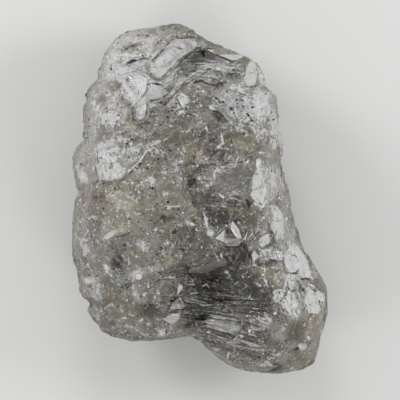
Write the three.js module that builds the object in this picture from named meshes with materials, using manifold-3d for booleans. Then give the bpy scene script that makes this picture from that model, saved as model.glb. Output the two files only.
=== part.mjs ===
// A rough diamond: one natural crystal of irregular shape, lying on a flat cleavage face.
// The outline, the crown above the girdle and the base below it make the body. Cleavage flakes, laminations,
// pits and chips are cut from it, and thin plates and a small pyramid of crystal faces stand on it.
// Millimetres, +Z up. The origin is under the middle of the stone, on the surface that it lies on.

import * as THREE from "three";
import { ImprovedNoise } from "three/addons/math/ImprovedNoise.js";
import { ConvexGeometry } from "three/addons/geometries/ConvexGeometry.js";
import { mergeVertices } from "three/addons/utils/BufferGeometryUtils.js";
import Module from "manifold-3d";

const wasm = await Module();
wasm.setup();

// ---- Driving dimensions, in millimetres ----

const crownRise = 1.7; // girdle to the top of the crown
const baseDrop = 1.55; // girdle to the deepest point, before the rest face is cut
const restCut = 0.24; // taken off the deepest point to leave the flat face it lies on
const crownFullness = 2.5; // higher is a flatter top with steeper flanks
const crownRoundness = 2.05;
const baseFullness = 2.3;
const baseRoundness = 1.9;
const girdleSway = 0.16; // how far the widest line wanders up and down
const smoothing = 9; // degrees to each side that the outline is smoothed over, away from the girdle
const wiggleFade = 8; // how soon the outline's small wiggles fade above and below the girdle
const bodyPoints = 2020; // corners of the body's surface
const crownShare = 0.62; // the share of them above the girdle
const bodyJitter = 0.35; // how far a corner strays from its even place, as a share of their spacing
const lumps = [
  { size: 1.15, height: 0.085 }, // broad, soft undulation
  { size: 0.6, height: 0.045 },
];

const finest = 0.003; // edges shorter than this are closed up
const toolReach = 3; // how far a cutting tool stands out of the stone
const plateRoot = 0.3; // how deep a plate is rooted in the stone

// The outline seen from above, clockwise from the top.
const outline = [
  [-0.48, 3.53], [-0.34, 3.48], [-0.18, 3.45], [-0.02, 3.27], [0.28, 3.1], [0.62, 2.98], [0.94, 2.83],
  [1.16, 2.66], [1.29, 2.45], [1.28, 2.28], [1.45, 2.17], [1.53, 1.97], [1.54, 1.73], [1.6, 1.33],
  [1.66, 0.83], [1.59, 0.74], [1.69, 0.45], [1.79, 0.19], [1.82, -0.13], [1.94, -0.65], [2.08, -1.01],
  [2.28, -1.35], [2.48, -1.65], [2.56, -1.95], [2.54, -2.31], [2.44, -2.77], [2.33, -3.13], [2.16, -3.36],
  [1.92, -3.46], [1.6, -3.52], [1.24, -3.49], [0.76, -3.42], [0.52, -3.32], [0.18, -3.03], [-0.06, -2.82],
  [-0.22, -2.74], [-0.56, -2.8], [-1, -2.84], [-1.4, -2.85], [-1.72, -2.74], [-1.98, -2.51], [-2.24, -2.21],
  [-2.18, -2.09], [-2.31, -2.01], [-2.42, -1.77], [-2.46, -1.39], [-2.55, -0.93], [-2.55, -0.51],
  [-2.5, -0.07], [-2.46, 0.23], [-2.53, 0.49], [-2.55, 0.81], [-2.46, 1.06], [-2.34, 1.14], [-2.34, 1.61],
  [-2.32, 1.97], [-2.21, 2.23], [-2.06, 2.38], [-2.03, 2.6], [-1.92, 2.92], [-1.68, 3.2], [-1.44, 3.36],
  [-1.16, 3.44], [-0.84, 3.44], [-0.68, 3.5],
];

// Lobes and hollows of the crown: centre, half-widths, turn in degrees, and height, negative for a hollow.
const crownSwells = [
  { at: [-0.35, 0.75], wide: [1.0, 1.2], turn: 20, height: 0.12 }, // the crest
  { at: [-1.55, -0.35], wide: [0.6, 0.65], turn: 0, height: 0.2 }, // middle lobe on the left
  { at: [-1.25, -2.2], wide: [0.75, 0.45], turn: -12, height: 0.2 }, // lower left lobe
  { at: [1.55, -2.55], wide: [0.6, 0.7], turn: 0, height: 0.34 }, // lower right lobe
  { at: [1.15, 0.2], wide: [0.35, 1.2], turn: 8, height: 0.14 }, // shoulder along the right flank
  { at: [0.25, -1.75], wide: [0.62, 0.34], turn: -10, height: -0.5 }, // the dark hollow
  { at: [0.78, -1.2], wide: [0.22, 0.35], turn: 0, height: -0.3 }, // its head
  { at: [-0.22, -2.5], wide: [0.3, 0.38], turn: 0, height: -0.42 }, // its mouth, between the lower lobes
  { at: [-1.35, 2.65], wide: [0.75, 0.6], turn: 30, height: -0.22 }, // upper left dome, thin at its rim
  { at: [0.3, 2.62], wide: [0.7, 0.28], turn: 8, height: -0.2 }, // dark striated slope at the top
  { at: [1.15, 2.45], wide: [0.3, 0.3], turn: 0, height: -0.22 }, // clear corner at the upper right
  { at: [-2.3, 0.7], wide: [0.22, 0.35], turn: 0, height: -0.3 }, // clear bulge on the left edge
  { at: [-0.85, 1.7], wide: [0.32, 0.28], turn: 0, height: -0.12 },
];
const baseSwells = [
  { at: [-1.2, 1.6], wide: [0.8, 0.9], turn: 0, height: 0.22 },
  { at: [1.3, -2.2], wide: [0.7, 0.7], turn: 0, height: 0.26 },
  { at: [-1.4, -1.8], wide: [0.7, 0.6], turn: 0, height: 0.16 },
  { at: [0.9, 1.7], wide: [0.5, 0.7], turn: 0, height: -0.14 },
];

// Flat cleavage flakes cut from the crown: corners seen from above, how far the flat lies below the crown at
// its middle, and how it leans away from the crown's own slope there, as rise per millimetre along X and Y.
const flakes = [
  {
    edge: [[-0.95, 2.77], [-0.7, 2.97], [-0.45, 3.17], [-0.1, 3.23], [-0.02, 3.18], [-0.3, 2.97],
      [-0.5, 2.77], [-0.65, 2.61], [-0.9, 2.6]],
    depth: 0.1, lean: [0.1, 0.12],
  },
  {
    edge: [[-1.48, 2.4], [-1.3, 2.46], [-1.08, 2.41], [-1.04, 2.27], [-1.08, 2.05], [-1.25, 2.07],
      [-1.43, 2.27]],
    depth: 0.07, lean: [0.25, 0.1],
  },
  {
    edge: [[-1.01, 2.25], [-0.8, 2.27], [-0.6, 2.12], [-0.8, 1.92], [-0.95, 1.87], [-1.08, 1.95]],
    depth: 0.1, lean: [-0.1, 0.2],
  },
  {
    edge: [[-1.25, 1.82], [-1.08, 1.92], [-1.05, 1.77], [-1.13, 1.62], [-1.28, 1.6]],
    depth: 0.06, lean: [0.2, 0],
  },
  {
    edge: [[-0.4, 2.7], [-0.15, 2.92], [0.1, 2.95], [0.65, 2.75], [0.9, 2.7], [0.87, 2.42], [0.65, 2.27],
      [0.2, 2.32], [-0.2, 2.27], [-0.65, 1.97], [-0.7, 2.07]],
    depth: 0.12, lean: [0.08, -0.25],
  },
  {
    edge: [[0.15, 3.02], [0.4, 3.02], [0.9, 2.82], [0.65, 2.72], [0.2, 2.95]],
    depth: 0.06, lean: [0, 0.2],
  },
  {
    edge: [[0.92, 2.7], [1.2, 2.57], [1.25, 2.42], [1.15, 2.27], [0.92, 2.32]],
    depth: 0.08, lean: [0.1, 0.15],
  },
  {
    edge: [[0.2, 2.07], [0.7, 2.22], [1.2, 2.12], [1.35, 1.87], [1.35, 1.47], [1.1, 1.32], [0.8, 1.47],
      [0.45, 1.67], [0.2, 1.82]],
    depth: 0.08, lean: [0.1, 0.05],
  },
  {
    edge: [[0.4, 1.17], [0.7, 1.27], [1.04, 1.07], [1, 0.87], [0.64, 0.87], [0.4, 0.97]],
    depth: 0.05, lean: [-0.1, -0.2],
  },
  {
    edge: [[1.05, 0.57], [1.2, 0.67], [1.3, 0.57], [1.35, 0.27], [1.3, -0.03], [1.2, -0.18], [1.05, 0.02],
      [1.02, 0.32]],
    depth: 0.09, lean: [-0.15, 0.1],
  },
  {
    edge: [[1.4, -0.18], [1.6, -0.23], [1.65, -0.53], [1.6, -0.88], [1.45, -0.88], [1.42, -0.53]],
    depth: 0.06, lean: [0.1, 0.1],
  },
  {
    edge: [[1.75, -0.93], [1.95, -0.88], [2.05, -1.23], [2.25, -1.58], [2, -1.68], [1.7, -1.53],
      [1.65, -1.23]],
    depth: 0.07, lean: [0.05, 0.05],
  },
  {
    edge: [[1.15, -0.78], [1.3, -0.68], [1.4, -0.88], [1.3, -1.03], [1.15, -0.98]],
    depth: 0.06, lean: [-0.2, 0.2],
  },
  {
    edge: [[1.02, -1.03], [1.2, -0.98], [1.45, -1.03], [1.55, -1.23], [1.35, -1.38], [1.1, -1.33]],
    depth: 0.07, lean: [0.05, 0.25],
  },
  {
    edge: [[1.5, -1.88], [1.7, -1.68], [1.9, -1.78], [2, -2.08], [1.85, -2.38], [1.7, -2.23],
      [1.45, -1.98]],
    depth: 0.08, lean: [0.1, 0.2],
  },
  {
    edge: [[2.12, -1.78], [2.3, -1.73], [2.45, -1.93], [2.35, -2.28], [2.15, -2.23], [2.05, -1.98]],
    depth: 0.05, lean: [0, 0.15],
  },
  {
    edge: [[-2, 0.97], [-1.65, 1.07], [-1.05, 1.05], [-0.85, 1.02], [-1.1, 0.77], [-1.45, 0.47],
      [-1.65, 0.32], [-1.95, 0.37], [-2.03, 0.67]],
    depth: 0.05, lean: [0.1, -0.14],
  },
  {
    edge: [[-2.35, 0.22], [-2, 0.32], [-1.65, 0.33], [-1.45, 0.47], [-1.1, 0.77], [-0.85, 1.02],
      [-0.35, 0.6], [-0.6, 0], [-0.9, -0.63], [-1.56, -0.73], [-1.95, -0.53], [-2.3, -0.3]],
    depth: 0.07, lean: [0.08, -0.16],
  },
  {
    edge: [[-1.93, -1.42], [-1.86, -1.1], [-1.72, -0.82], [-1.36, -0.68], [-1, -0.9], [-0.75, -1.25],
      [-1.1, -1.55], [-1.6, -1.55]],
    depth: 0.08, lean: [0.12, -0.16],
  },
  {
    edge: [[-2.1, -2.1], [-1.5, -2.35], [-0.6, -2.6], [-0.25, -2.66], [-0.3, -2.95], [-1.4, -3],
      [-2.1, -2.7]],
    depth: 0.05, lean: [0, -0.3],
  },
];

// Thin plates that stand on the crown: the same words as for flakes, with the height of the plate's flat top.
const plates = [
  {
    edge: [[-0.7, -2.43], [-0.6, -2.23], [-0.4, -1.93], [-0.33, -2.03], [-0.35, -2.28], [-0.5, -2.45],
      [-0.65, -2.53]],
    height: 0.09, lean: [0.3, 0.15],
  },
  {
    edge: [[-0.15, -2.38], [0.7, -2.48], [0.9, -2.68], [0.4, -2.68], [0, -2.58]],
    height: 0.06, lean: [0, 0.15],
  },
  {
    edge: [[-0.3, -1.47], [-0.24, -1.31], [0.3, -1.19], [0.52, -1.15], [0.56, -1.27], [0.24, -1.39]],
    height: 0.07, lean: [0, 0.25],
  },
];

// The pyramid of crystal faces: corners of its foot, its peak seen from above, and how far it stands out.
const pyramid = {
  foot: [[0.35, -0.75], [0.62, -0.45], [0.88, -0.83], [0.7, -0.95], [0.52, -0.93]],
  peak: [0.6, -0.72],
  height: 0.13,
};

// Step laminations in the dark hollow: grooves that run across it and fan out towards the lower right lobe.
const laminations = {
  count: 22,
  first: [[-0.35, -1.68], [1.0, -1.76]], // the two ends of the uppermost groove
  last: [[0.1, -3.0], [1.45, -3.3]], // and of the lowest
  wide: 0.05,
  deep: 0.045,
  ragged: 0.4, // the most that an end falls short, as a share of the length
};

// Small pits in the crown: centre, radius and depth.
const pits = [
  [-1.66, -1.27, 0.13, 0.1], [0.95, -0.09, 0.06, 0.07], [-0.5, -0.69, 0.05, 0.05], [-0.32, -1.06, 0.05, 0.05],
  [-1.32, 2.72, 0.07, 0.05], [0.04, 2.86, 0.08, 0.05], [0.52, 1.62, 0.06, 0.06], [0.9, 1.5, 0.05, 0.05],
  [0.66, 1.78, 0.05, 0.05], [-0.1, 0.5, 0.07, 0.06], [-0.62, 0.95, 0.06, 0.05], [1.3, -3.05, 0.08, 0.06],
];

// Chips: shallow scoops with angular faces, set along a spiral between two levels, where 1 is the top and -1
// the bottom of the stone. The first spiral is on the crown, the second on the flanks and the underside.
const chips = [
  { seed: 0, count: 34, top: 0.99, bottom: 0.55, smallest: 0.14, largest: 0.42, squash: 0.5, depth: 0.03 },
  { seed: 500, count: 56, top: 0.55, bottom: -1, smallest: 0.3, largest: 0.95, squash: 0.6, depth: 0.05 },
];
const chipInside = 0.85; // where a chip's flattest faces lie, as a share of its radius

// Broad cleavage flats: azimuth and latitude of the middle in degrees, depth, and half-length and half-width.
const bevels = [
  { azimuth: -36, latitude: 30, depth: 0.07, size: [1.2, 0.7] },
  { azimuth: 12, latitude: 18, depth: 0.05, size: [0.9, 0.5] },
  { azimuth: 186, latitude: 22, depth: 0.05, size: [1, 0.5] },
  { azimuth: -74, latitude: -34, depth: 0.16, size: [1.3, 0.9] },
  { azimuth: 218, latitude: -30, depth: 0.14, size: [1.3, 0.8] },
  { azimuth: 152, latitude: -24, depth: 0.1, size: [1.2, 0.7] },
  { azimuth: 28, latitude: -32, depth: 0.12, size: [1.1, 0.8] },
  { azimuth: 104, latitude: -36, depth: 0.18, size: [1.4, 0.9] },
];

// ---- The body ----

const perlin = new ImprovedNoise();
const goldenAngle = Math.PI * (3 - Math.sqrt(5));
const outlineLoop = new THREE.CatmullRomCurve3(
  outline.map(([x, y]) => new THREE.Vector3(x, y, 0)),
  true,
  "catmullrom",
  0.5,
).getPoints(outline.length * 6);

// How far the outline lies from the middle, looking along an azimuth.
function exactRadius(azimuth) {
  const c = Math.cos(azimuth);
  const s = Math.sin(azimuth);
  let far = 0;
  for (let i = 0; i + 1 < outlineLoop.length; i++) {
    const a = outlineLoop[i];
    const b = outlineLoop[i + 1];
    const sideA = a.y * c - a.x * s;
    const sideB = b.y * c - b.x * s;
    if (sideA * sideB > 0 || sideA === sideB) continue;
    const t = sideA / (sideA - sideB);
    far = Math.max(far, (a.x + (b.x - a.x) * t) * c + (a.y + (b.y - a.y) * t) * s);
  }
  return far;
}

// The same for each degree all round, and the same with the small wiggles smoothed out.
const degrees = 360;
const exactRadii = Array.from({ length: degrees }, (_, i) => exactRadius(THREE.MathUtils.degToRad(i)));
const smoothRadii = exactRadii.map((_, i) => {
  let sum = 0;
  for (let k = -smoothing; k <= smoothing; k++) sum += exactRadii[(i + k + degrees) % degrees];
  return sum / (2 * smoothing + 1);
});

// The radius at an azimuth: exact at the girdle, where detail is 1, and smooth above and below it.
function outlineRadius(azimuth, detail) {
  const turn = THREE.MathUtils.euclideanModulo(THREE.MathUtils.radToDeg(azimuth), degrees);
  const low = Math.floor(turn) % degrees;
  const next = (low + 1) % degrees;
  const read = (radii) => THREE.MathUtils.lerp(radii[low], radii[next], turn - Math.floor(turn));
  return THREE.MathUtils.lerp(read(smoothRadii), read(exactRadii), detail);
}

// The sum of a list of swells at a place seen from above.
function swellHeight(swells, x, y) {
  return swells.reduce((sum, { at, wide, turn, height }) => {
    const t = THREE.MathUtils.degToRad(turn);
    const dx = x - at[0];
    const dy = y - at[1];
    const u = (dx * Math.cos(t) + dy * Math.sin(t)) / wide[0];
    const v = (dy * Math.cos(t) - dx * Math.sin(t)) / wide[1];
    return sum + height * Math.exp(-(u * u + v * v));
  }, 0);
}

// The height of the widest line at an azimuth.
function girdleHeight(azimuth) {
  return girdleSway * (Math.sin(azimuth * 2 + 0.7) + 0.5 * Math.sin(azimuth * 3 - 1));
}

// The height of the smooth crown (side 1) or base (side -1), at a share of the way out to the outline.
function bodyHeight(side, azimuth, share, x, y) {
  const up = side > 0;
  const fullness = up ? crownFullness : baseFullness;
  const roundness = up ? crownRoundness : baseRoundness;
  const dome = (1 - Math.min(share, 1) ** fullness) ** (1 / roundness);
  const swell = swellHeight(up ? crownSwells : baseSwells, x, y);
  const inner = Math.min(1, (1 - Math.min(share, 1)) * 4); // swells die out towards the girdle
  return girdleHeight(azimuth) + side * ((up ? crownRise : baseDrop) * dome + swell * inner);
}

// The point of the smooth body in a direction, given as azimuth and latitude.
function bodyPoint(azimuth, latitude) {
  const side = latitude < 0 ? -1 : 1;
  const share = Math.cos(latitude) ** (2 / (side > 0 ? crownFullness : baseFullness));
  const reach = share * outlineRadius(azimuth, Math.cos(latitude) ** wiggleFade);
  const x = reach * Math.cos(azimuth);
  const y = reach * Math.sin(azimuth);
  return new THREE.Vector3(x, y, bodyHeight(side, azimuth, share, x, y));
}

// The outward normal of the smooth body in a direction.
function bodyNormal(azimuth, latitude) {
  const step = 0.05;
  const low = Math.max(latitude - step, -Math.PI / 2 + 0.001);
  const high = Math.min(latitude + step, Math.PI / 2 - 0.001);
  const east = bodyPoint(azimuth + step, latitude).sub(bodyPoint(azimuth - step, latitude));
  const north = bodyPoint(azimuth, high).sub(bodyPoint(azimuth, low));
  return east.cross(north).normalize();
}

// The height of the smooth crown at a place seen from above.
function crownHeight(x, y) {
  const azimuth = Math.atan2(y, x);
  return bodyHeight(1, azimuth, Math.hypot(x, y) / outlineRadius(azimuth, 0), x, y);
}

// A repeatable number from 0 to 1 for a whole-number seed.
function chance(seed) {
  return THREE.MathUtils.seededRandom(seed + 1);
}

// A solid from a closed geometry, with vertices merged by position alone.
function solid(geometry) {
  geometry.deleteAttribute("normal");
  geometry.deleteAttribute("uv");
  const merged = mergeVertices(geometry, 1e-5);
  return new wasm.Manifold(
    new wasm.Mesh({
      numProp: 3,
      vertProperties: merged.attributes.position.array,
      triVerts: new Uint32Array(merged.index.array),
      tolerance: finest,
    }),
  );
}

// Directions all round, close to evenly spaced but irregular, as one closed surface of radius 1.
function scatteredBall() {
  const stray = bodyJitter * Math.sqrt((4 * Math.PI) / bodyPoints);
  const directions = Array.from({ length: bodyPoints }, (_, i) => {
    const share = (i + 0.5) / bodyPoints;
    const level = share < crownShare ? 1 - share / crownShare : -(share - crownShare) / (1 - crownShare);
    const latitude = Math.asin(level) + stray * (chance(i) - 0.5);
    const azimuth = i * goldenAngle + (stray * (chance(i + bodyPoints) - 0.5)) / Math.cos(latitude);
    return new THREE.Vector3().setFromSphericalCoords(1, Math.PI / 2 - latitude, azimuth);
  });
  return new ConvexGeometry(directions);
}

function body() {
  const geometry = scatteredBall();
  const position = geometry.attributes.position;
  const point = new THREE.Vector3();
  for (let i = 0; i < position.count; i++) {
    point.fromBufferAttribute(position, i);
    const azimuth = Math.atan2(point.x, point.z);
    const latitude = Math.asin(THREE.MathUtils.clamp(point.y, -1, 1));
    const place = bodyPoint(azimuth, latitude);
    for (const { size, height } of lumps) {
      place.z += height * perlin.noise(place.x / size + 7, place.y / size + 3, place.z / size);
    }
    position.setXYZ(i, place.x, place.y, place.z);
  }
  return solid(geometry);
}

// ---- Tools that cut the stone or grow on it ----

// A flat through the crown at the middle of an outline: offset above it, and leaning away from its own slope.
function crownFlat(edge, offset, lean) {
  const [midX, midY] = edge.reduce(([x, y], [px, py]) => [x + px / edge.length, y + py / edge.length], [0, 0]);
  const step = 0.15;
  const slopeX = (crownHeight(midX + step, midY) - crownHeight(midX - step, midY)) / (2 * step);
  const slopeY = (crownHeight(midX, midY + step) - crownHeight(midX, midY - step)) / (2 * step);
  const level = crownHeight(midX, midY) + offset;
  return (x, y) => level + (slopeX + lean[0]) * (x - midX) + (slopeY + lean[1]) * (y - midY);
}

// A prism over an outline, from one height function to another.
function prism(edge, bottom, top) {
  const shape = new THREE.Shape(edge.map(([x, y]) => new THREE.Vector2(x, y)));
  const geometry = new THREE.ExtrudeGeometry(shape, { depth: 1, bevelEnabled: false });
  const position = geometry.attributes.position;
  for (let i = 0; i < position.count; i++) {
    const x = position.getX(i);
    const y = position.getY(i);
    position.setZ(i, (position.getZ(i) > 0.5 ? top : bottom)(x, y));
  }
  return solid(geometry);
}

function flakeTool({ edge, depth, lean }) {
  return prism(edge, crownFlat(edge, -depth, lean), () => crownRise + toolReach);
}

function plate({ edge, height, lean }) {
  const flat = crownFlat(edge, height, lean);
  return prism(edge, (x, y) => Math.min(flat(x, y), crownHeight(x, y)) - plateRoot, flat);
}

// A closed solid from a list of corners, three to a face, turned to face outwards.
function solidOfFaces(corners) {
  let volume = 0;
  for (let i = 0; i < corners.length; i += 3) {
    volume += corners[i].dot(new THREE.Vector3().crossVectors(corners[i + 1], corners[i + 2]));
  }
  return solid(new THREE.BufferGeometry().setFromPoints(volume < 0 ? [...corners].reverse() : corners));
}

// A cone between a ring and a peak.
function spire(ring, peak) {
  const middle = ring.reduce((sum, p) => sum.add(p), new THREE.Vector3()).divideScalar(ring.length);
  return solidOfFaces(
    ring.flatMap((corner, i) => {
      const next = ring[(i + 1) % ring.length];
      return [corner, next, peak, next, corner, middle];
    }),
  );
}

function pyramidOfFaces() {
  const ring = pyramid.foot.map(([x, y]) => new THREE.Vector3(x, y, crownHeight(x, y) - pyramid.height));
  const [x, y] = pyramid.peak;
  return spire(ring, new THREE.Vector3(x, y, crownHeight(x, y) + pyramid.height));
}

function pitTool([x, y, radius, depth]) {
  const corners = 7;
  const ring = [];
  for (let i = 0; i < corners; i++) {
    const a = (i / corners) * 2 * Math.PI + x * 9;
    const r = radius * 2 * (1 + 0.2 * Math.sin(i * 2.4));
    ring.push(new THREE.Vector3(x + r * Math.cos(a), y + r * Math.sin(a), crownHeight(x, y) + depth));
  }
  return spire(ring, new THREE.Vector3(x, y, crownHeight(x, y) - depth));
}

// One groove: a long three-sided bar whose lower edge runs along the crown between two places.
function grooveTool([startX, startY], [endX, endY], wide, deep) {
  const across = new THREE.Vector3(startY - endY, endX - startX, 0).setLength(wide);
  const pieces = 4;
  const strips = [];
  for (let i = 0; i <= pieces; i++) {
    const x = startX + ((endX - startX) * i) / pieces;
    const y = startY + ((endY - startY) * i) / pieces;
    const foot = new THREE.Vector3(x, y, crownHeight(x, y) - deep);
    const rim = foot.clone().setZ(foot.z + deep * 3);
    strips.push([foot, rim.clone().addScaledVector(across, 0.4), rim.clone().sub(across)]);
  }
  const faces = [];
  for (let i = 0; i < pieces; i++) {
    for (let k = 0; k < 3; k++) {
      const [a, b] = [strips[i][k], strips[i][(k + 1) % 3]];
      const [c, d] = [strips[i + 1][k], strips[i + 1][(k + 1) % 3]];
      faces.push(a, c, b, b, c, d);
    }
  }
  const [first, last] = [strips[0], strips[pieces]];
  faces.push(first[0], first[1], first[2], last[0], last[2], last[1]);
  return solidOfFaces(faces);
}

function laminationTools() {
  const mix = (a, b, t) => [a[0] + (b[0] - a[0]) * t, a[1] + (b[1] - a[1]) * t];
  const { count, first, last, wide, deep, ragged } = laminations;
  return Array.from({ length: count }, (_, i) => {
    const share = (i + 0.7 * chance(i + 40)) / count;
    const left = mix(first[0], last[0], share);
    const right = mix(first[1], last[1], share);
    const start = mix(left, right, ragged * chance(i + 80));
    const end = mix(right, left, ragged * chance(i + 120));
    return grooveTool(start, end, wide * (0.6 + chance(i)), deep * (0.6 + chance(i + 20)));
  });
}

// Sets a tool, made round the origin with its foot facing down, against the body in a direction.
function setAgainst(tool, azimuth, latitude, depth) {
  const normal = bodyNormal(azimuth, latitude);
  tool.applyQuaternion(new THREE.Quaternion().setFromUnitVectors(new THREE.Vector3(0, 0, 1), normal));
  const foot = bodyPoint(azimuth, latitude).addScaledVector(normal, -depth);
  tool.translate(foot.x, foot.y, foot.z);
  return solid(tool);
}

// One chip: a rough, flattened ball sunk a little into the body from outside.
function chipTool({ seed, count, top, bottom, smallest, largest, squash, depth }, index) {
  const turn = seed + index;
  const latitude = Math.asin(THREE.MathUtils.lerp(top, bottom, (index + 0.5) / count));
  const radius = THREE.MathUtils.lerp(smallest, largest, chance(turn) ** 2);
  const ball = new THREE.IcosahedronGeometry(1, 0);
  ball.rotateX(turn);
  ball.rotateY(turn * 2);
  ball.scale(radius, radius * squash, radius * squash);
  ball.rotateZ(turn * 1.3);
  ball.translate(0, 0, radius * squash * chipInside);
  return setAgainst(ball, index * goldenAngle, latitude, depth * (0.6 + chance(turn + count)));
}

function bevelTool({ azimuth, latitude, depth, size }) {
  const sides = 7;
  const block = new THREE.CylinderGeometry(1, 1, toolReach, sides);
  block.rotateX(Math.PI / 2);
  block.scale(size[0], size[1], 1);
  block.translate(0, 0, toolReach / 2);
  block.rotateZ(THREE.MathUtils.degToRad(azimuth + 90)); // its length lies level
  return setAgainst(block, THREE.MathUtils.degToRad(azimuth), THREE.MathUtils.degToRad(latitude), depth);
}

function restTool() {
  const size = 20;
  const block = new THREE.BoxGeometry(size, size, size);
  block.translate(0, 0, -baseDrop + restCut - size / 2);
  return solid(block);
}

// ---- The stone ----

function stone() {
  let made = body();
  for (const bevel of bevels) made = made.subtract(bevelTool(bevel));
  for (const spiral of chips) {
    for (let i = 0; i < spiral.count; i++) made = made.subtract(chipTool(spiral, i));
  }
  for (const flake of flakes) made = made.subtract(flakeTool(flake));
  for (const tool of laminationTools()) made = made.subtract(tool);
  for (const grown of plates) made = made.add(plate(grown));
  made = made.add(pyramidOfFaces());
  for (const pit of pits) made = made.subtract(pitTool(pit));
  return made.subtract(restTool());
}

// The solid as a geometry, moved so that the origin is under the middle of its box.
function stoneGeometry() {
  const { vertProperties, triVerts, numProp, numVert } = stone().getMesh();
  const places = new Float32Array(numVert * 3);
  for (let i = 0; i < numVert; i++) places.set(vertProperties.subarray(i * numProp, i * numProp + 3), i * 3);
  const geometry = new THREE.BufferGeometry();
  geometry.setAttribute("position", new THREE.BufferAttribute(places, 3));
  geometry.setIndex(new THREE.BufferAttribute(triVerts, 1));
  geometry.computeBoundingBox();
  const { min, max } = geometry.boundingBox;
  geometry.translate(-(min.x + max.x) / 2, -(min.y + max.y) / 2, -min.z);
  geometry.computeVertexNormals();
  return geometry;
}

const crystal = new THREE.MeshStandardMaterial({
  color: 0x9c9a92,
  roughness: 0.3,
  metalness: 0,
  flatShading: true,
});
const diamond = new THREE.Mesh(stoneGeometry(), crystal);
diamond.name = "rough_diamond";

const group = new THREE.Group();
group.add(diamond);

export default group;
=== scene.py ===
# A rough diamond on a pale floor, seen from straight above.
import math

import bmesh
import bpy
import numpy as np
from mathutils import Matrix, Vector


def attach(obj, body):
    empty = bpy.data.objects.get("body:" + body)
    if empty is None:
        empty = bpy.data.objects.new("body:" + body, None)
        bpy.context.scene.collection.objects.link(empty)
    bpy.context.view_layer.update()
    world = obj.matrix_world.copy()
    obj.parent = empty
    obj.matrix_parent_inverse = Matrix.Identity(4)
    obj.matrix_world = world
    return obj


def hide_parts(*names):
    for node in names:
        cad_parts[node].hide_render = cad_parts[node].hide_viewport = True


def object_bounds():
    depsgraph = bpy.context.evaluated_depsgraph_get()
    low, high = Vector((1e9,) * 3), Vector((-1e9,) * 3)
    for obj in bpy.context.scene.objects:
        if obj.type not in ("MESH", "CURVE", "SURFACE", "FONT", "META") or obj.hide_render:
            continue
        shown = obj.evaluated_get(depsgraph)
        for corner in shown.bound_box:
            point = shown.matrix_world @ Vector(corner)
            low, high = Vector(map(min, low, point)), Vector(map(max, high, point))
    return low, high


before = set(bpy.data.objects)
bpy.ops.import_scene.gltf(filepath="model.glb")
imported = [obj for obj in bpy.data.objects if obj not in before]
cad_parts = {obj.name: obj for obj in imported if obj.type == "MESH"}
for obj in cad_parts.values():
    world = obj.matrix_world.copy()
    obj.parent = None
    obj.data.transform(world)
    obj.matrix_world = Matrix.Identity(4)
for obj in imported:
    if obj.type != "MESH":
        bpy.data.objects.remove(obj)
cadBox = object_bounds()
mm = 0.001
print("frame loaded")


def smoothStep(low, high, value):
    t = np.clip((value - low) / (high - low), 0, 1)
    return t * t * (3 - 2 * t)


latticeCount = 256  # how many random numbers a noise is made of: a power of two


def latticeCells(points, size, seed):
    # the lattice cell of each point, its place in that cell, and a way to number any cell
    order = np.random.default_rng(seed).permutation(latticeCount)
    scaled = points / size
    base = np.floor(scaled).astype(int)
    last = latticeCount - 1

    def number(cell):
        return order[(order[(order[cell[:, 0] & last] + cell[:, 1]) & last] + cell[:, 2]) & last]

    return base, scaled - base, number


def gradientNoise(points, size, seed):
    # smooth noise from about -1 to 1, with features about as wide as size
    base, part, number = latticeCells(points, size, seed)
    slopes = np.random.default_rng(seed + 500).normal(size=(latticeCount, 3))  # drawn apart from the lattice
    slopes /= np.linalg.norm(slopes, axis=1)[:, None]
    fade = part ** 3 * (part * (part * 6 - 15) + 10)
    total = np.zeros(len(points))
    for corner in np.ndindex(2, 2, 2):
        corner = np.array(corner)
        weight = np.prod(np.where(corner == 1, fade, 1 - fade), axis=1)
        total += weight * np.einsum("ij,ij->i", slopes[number(base + corner)], part - corner)
    return total * 1.5  # brings it up to about 1


def layeredNoise(points, size, seed, layers=3):
    # noise with finer and weaker layers added to it
    total, strength, reach = np.zeros(len(points)), 1.0, 0.0
    for layer in range(layers):
        total += strength * gradientNoise(points, size / 2 ** layer, seed + layer)
        reach += strength
        strength /= 2
    return total / reach


def brokenCells(points, size, seed):
    # for a scatter of seeds: the way from the nearest one, and its own random numbers
    base, part, number = latticeCells(points, size, seed)
    rng = np.random.default_rng(seed + 900)  # drawn apart from the lattice
    places, own = rng.random((latticeCount, 3)), rng.random((latticeCount, 4))
    first = np.full(len(points), 9.0)  # further than any seed
    way, picked = np.zeros((len(points), 3)), np.zeros(len(points), dtype=int)
    for corner in np.ndindex(3, 3, 3):
        corner = np.array(corner) - 1
        pick = number(base + corner)
        reach = part - corner - places[pick]
        distance = np.linalg.norm(reach, axis=1)
        nearer = distance < first
        way = np.where(nearer[:, None], reach, way)
        picked = np.where(nearer, pick, picked)
        first = np.where(nearer, distance, first)
    return way * size, own[picked]


def ellipseMask(dx, dy, wide, high, turn):
    # for places given from the middle of a turned ellipse: 1 there, 0.5 on its outline and 0 further out
    angle = math.radians(turn)
    u = (dx * math.cos(angle) + dy * math.sin(angle)) / wide
    v = (dy * math.cos(angle) - dx * math.sin(angle)) / high
    return 1 - smoothStep(0.5, 1.5, np.hypot(u, v))


def lineDistance(x, y, line):
    # distance to a line of points, the share of the way along it, and the side (positive on the left)
    best = np.full(len(x), 1e9)
    along, side = np.zeros(len(x)), np.ones(len(x))
    lengths = [math.dist(a, b) for a, b in zip(line, line[1:])]
    total, passed = sum(lengths), 0.0
    for (ax, ay), (bx, by), length in zip(line, line[1:], lengths):
        ux, uy = (bx - ax) / length, (by - ay) / length
        t = np.clip((x - ax) * ux + (y - ay) * uy, 0, length)
        dx, dy = x - ax - ux * t, y - ay - uy * t
        distance = np.hypot(dx, dy)
        closer = distance < best
        best = np.where(closer, distance, best)
        along = np.where(closer, (passed + t) / total, along)
        side = np.where(closer, np.sign(ux * dy - uy * dx), side)
        passed += length
    return best, along, side


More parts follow.
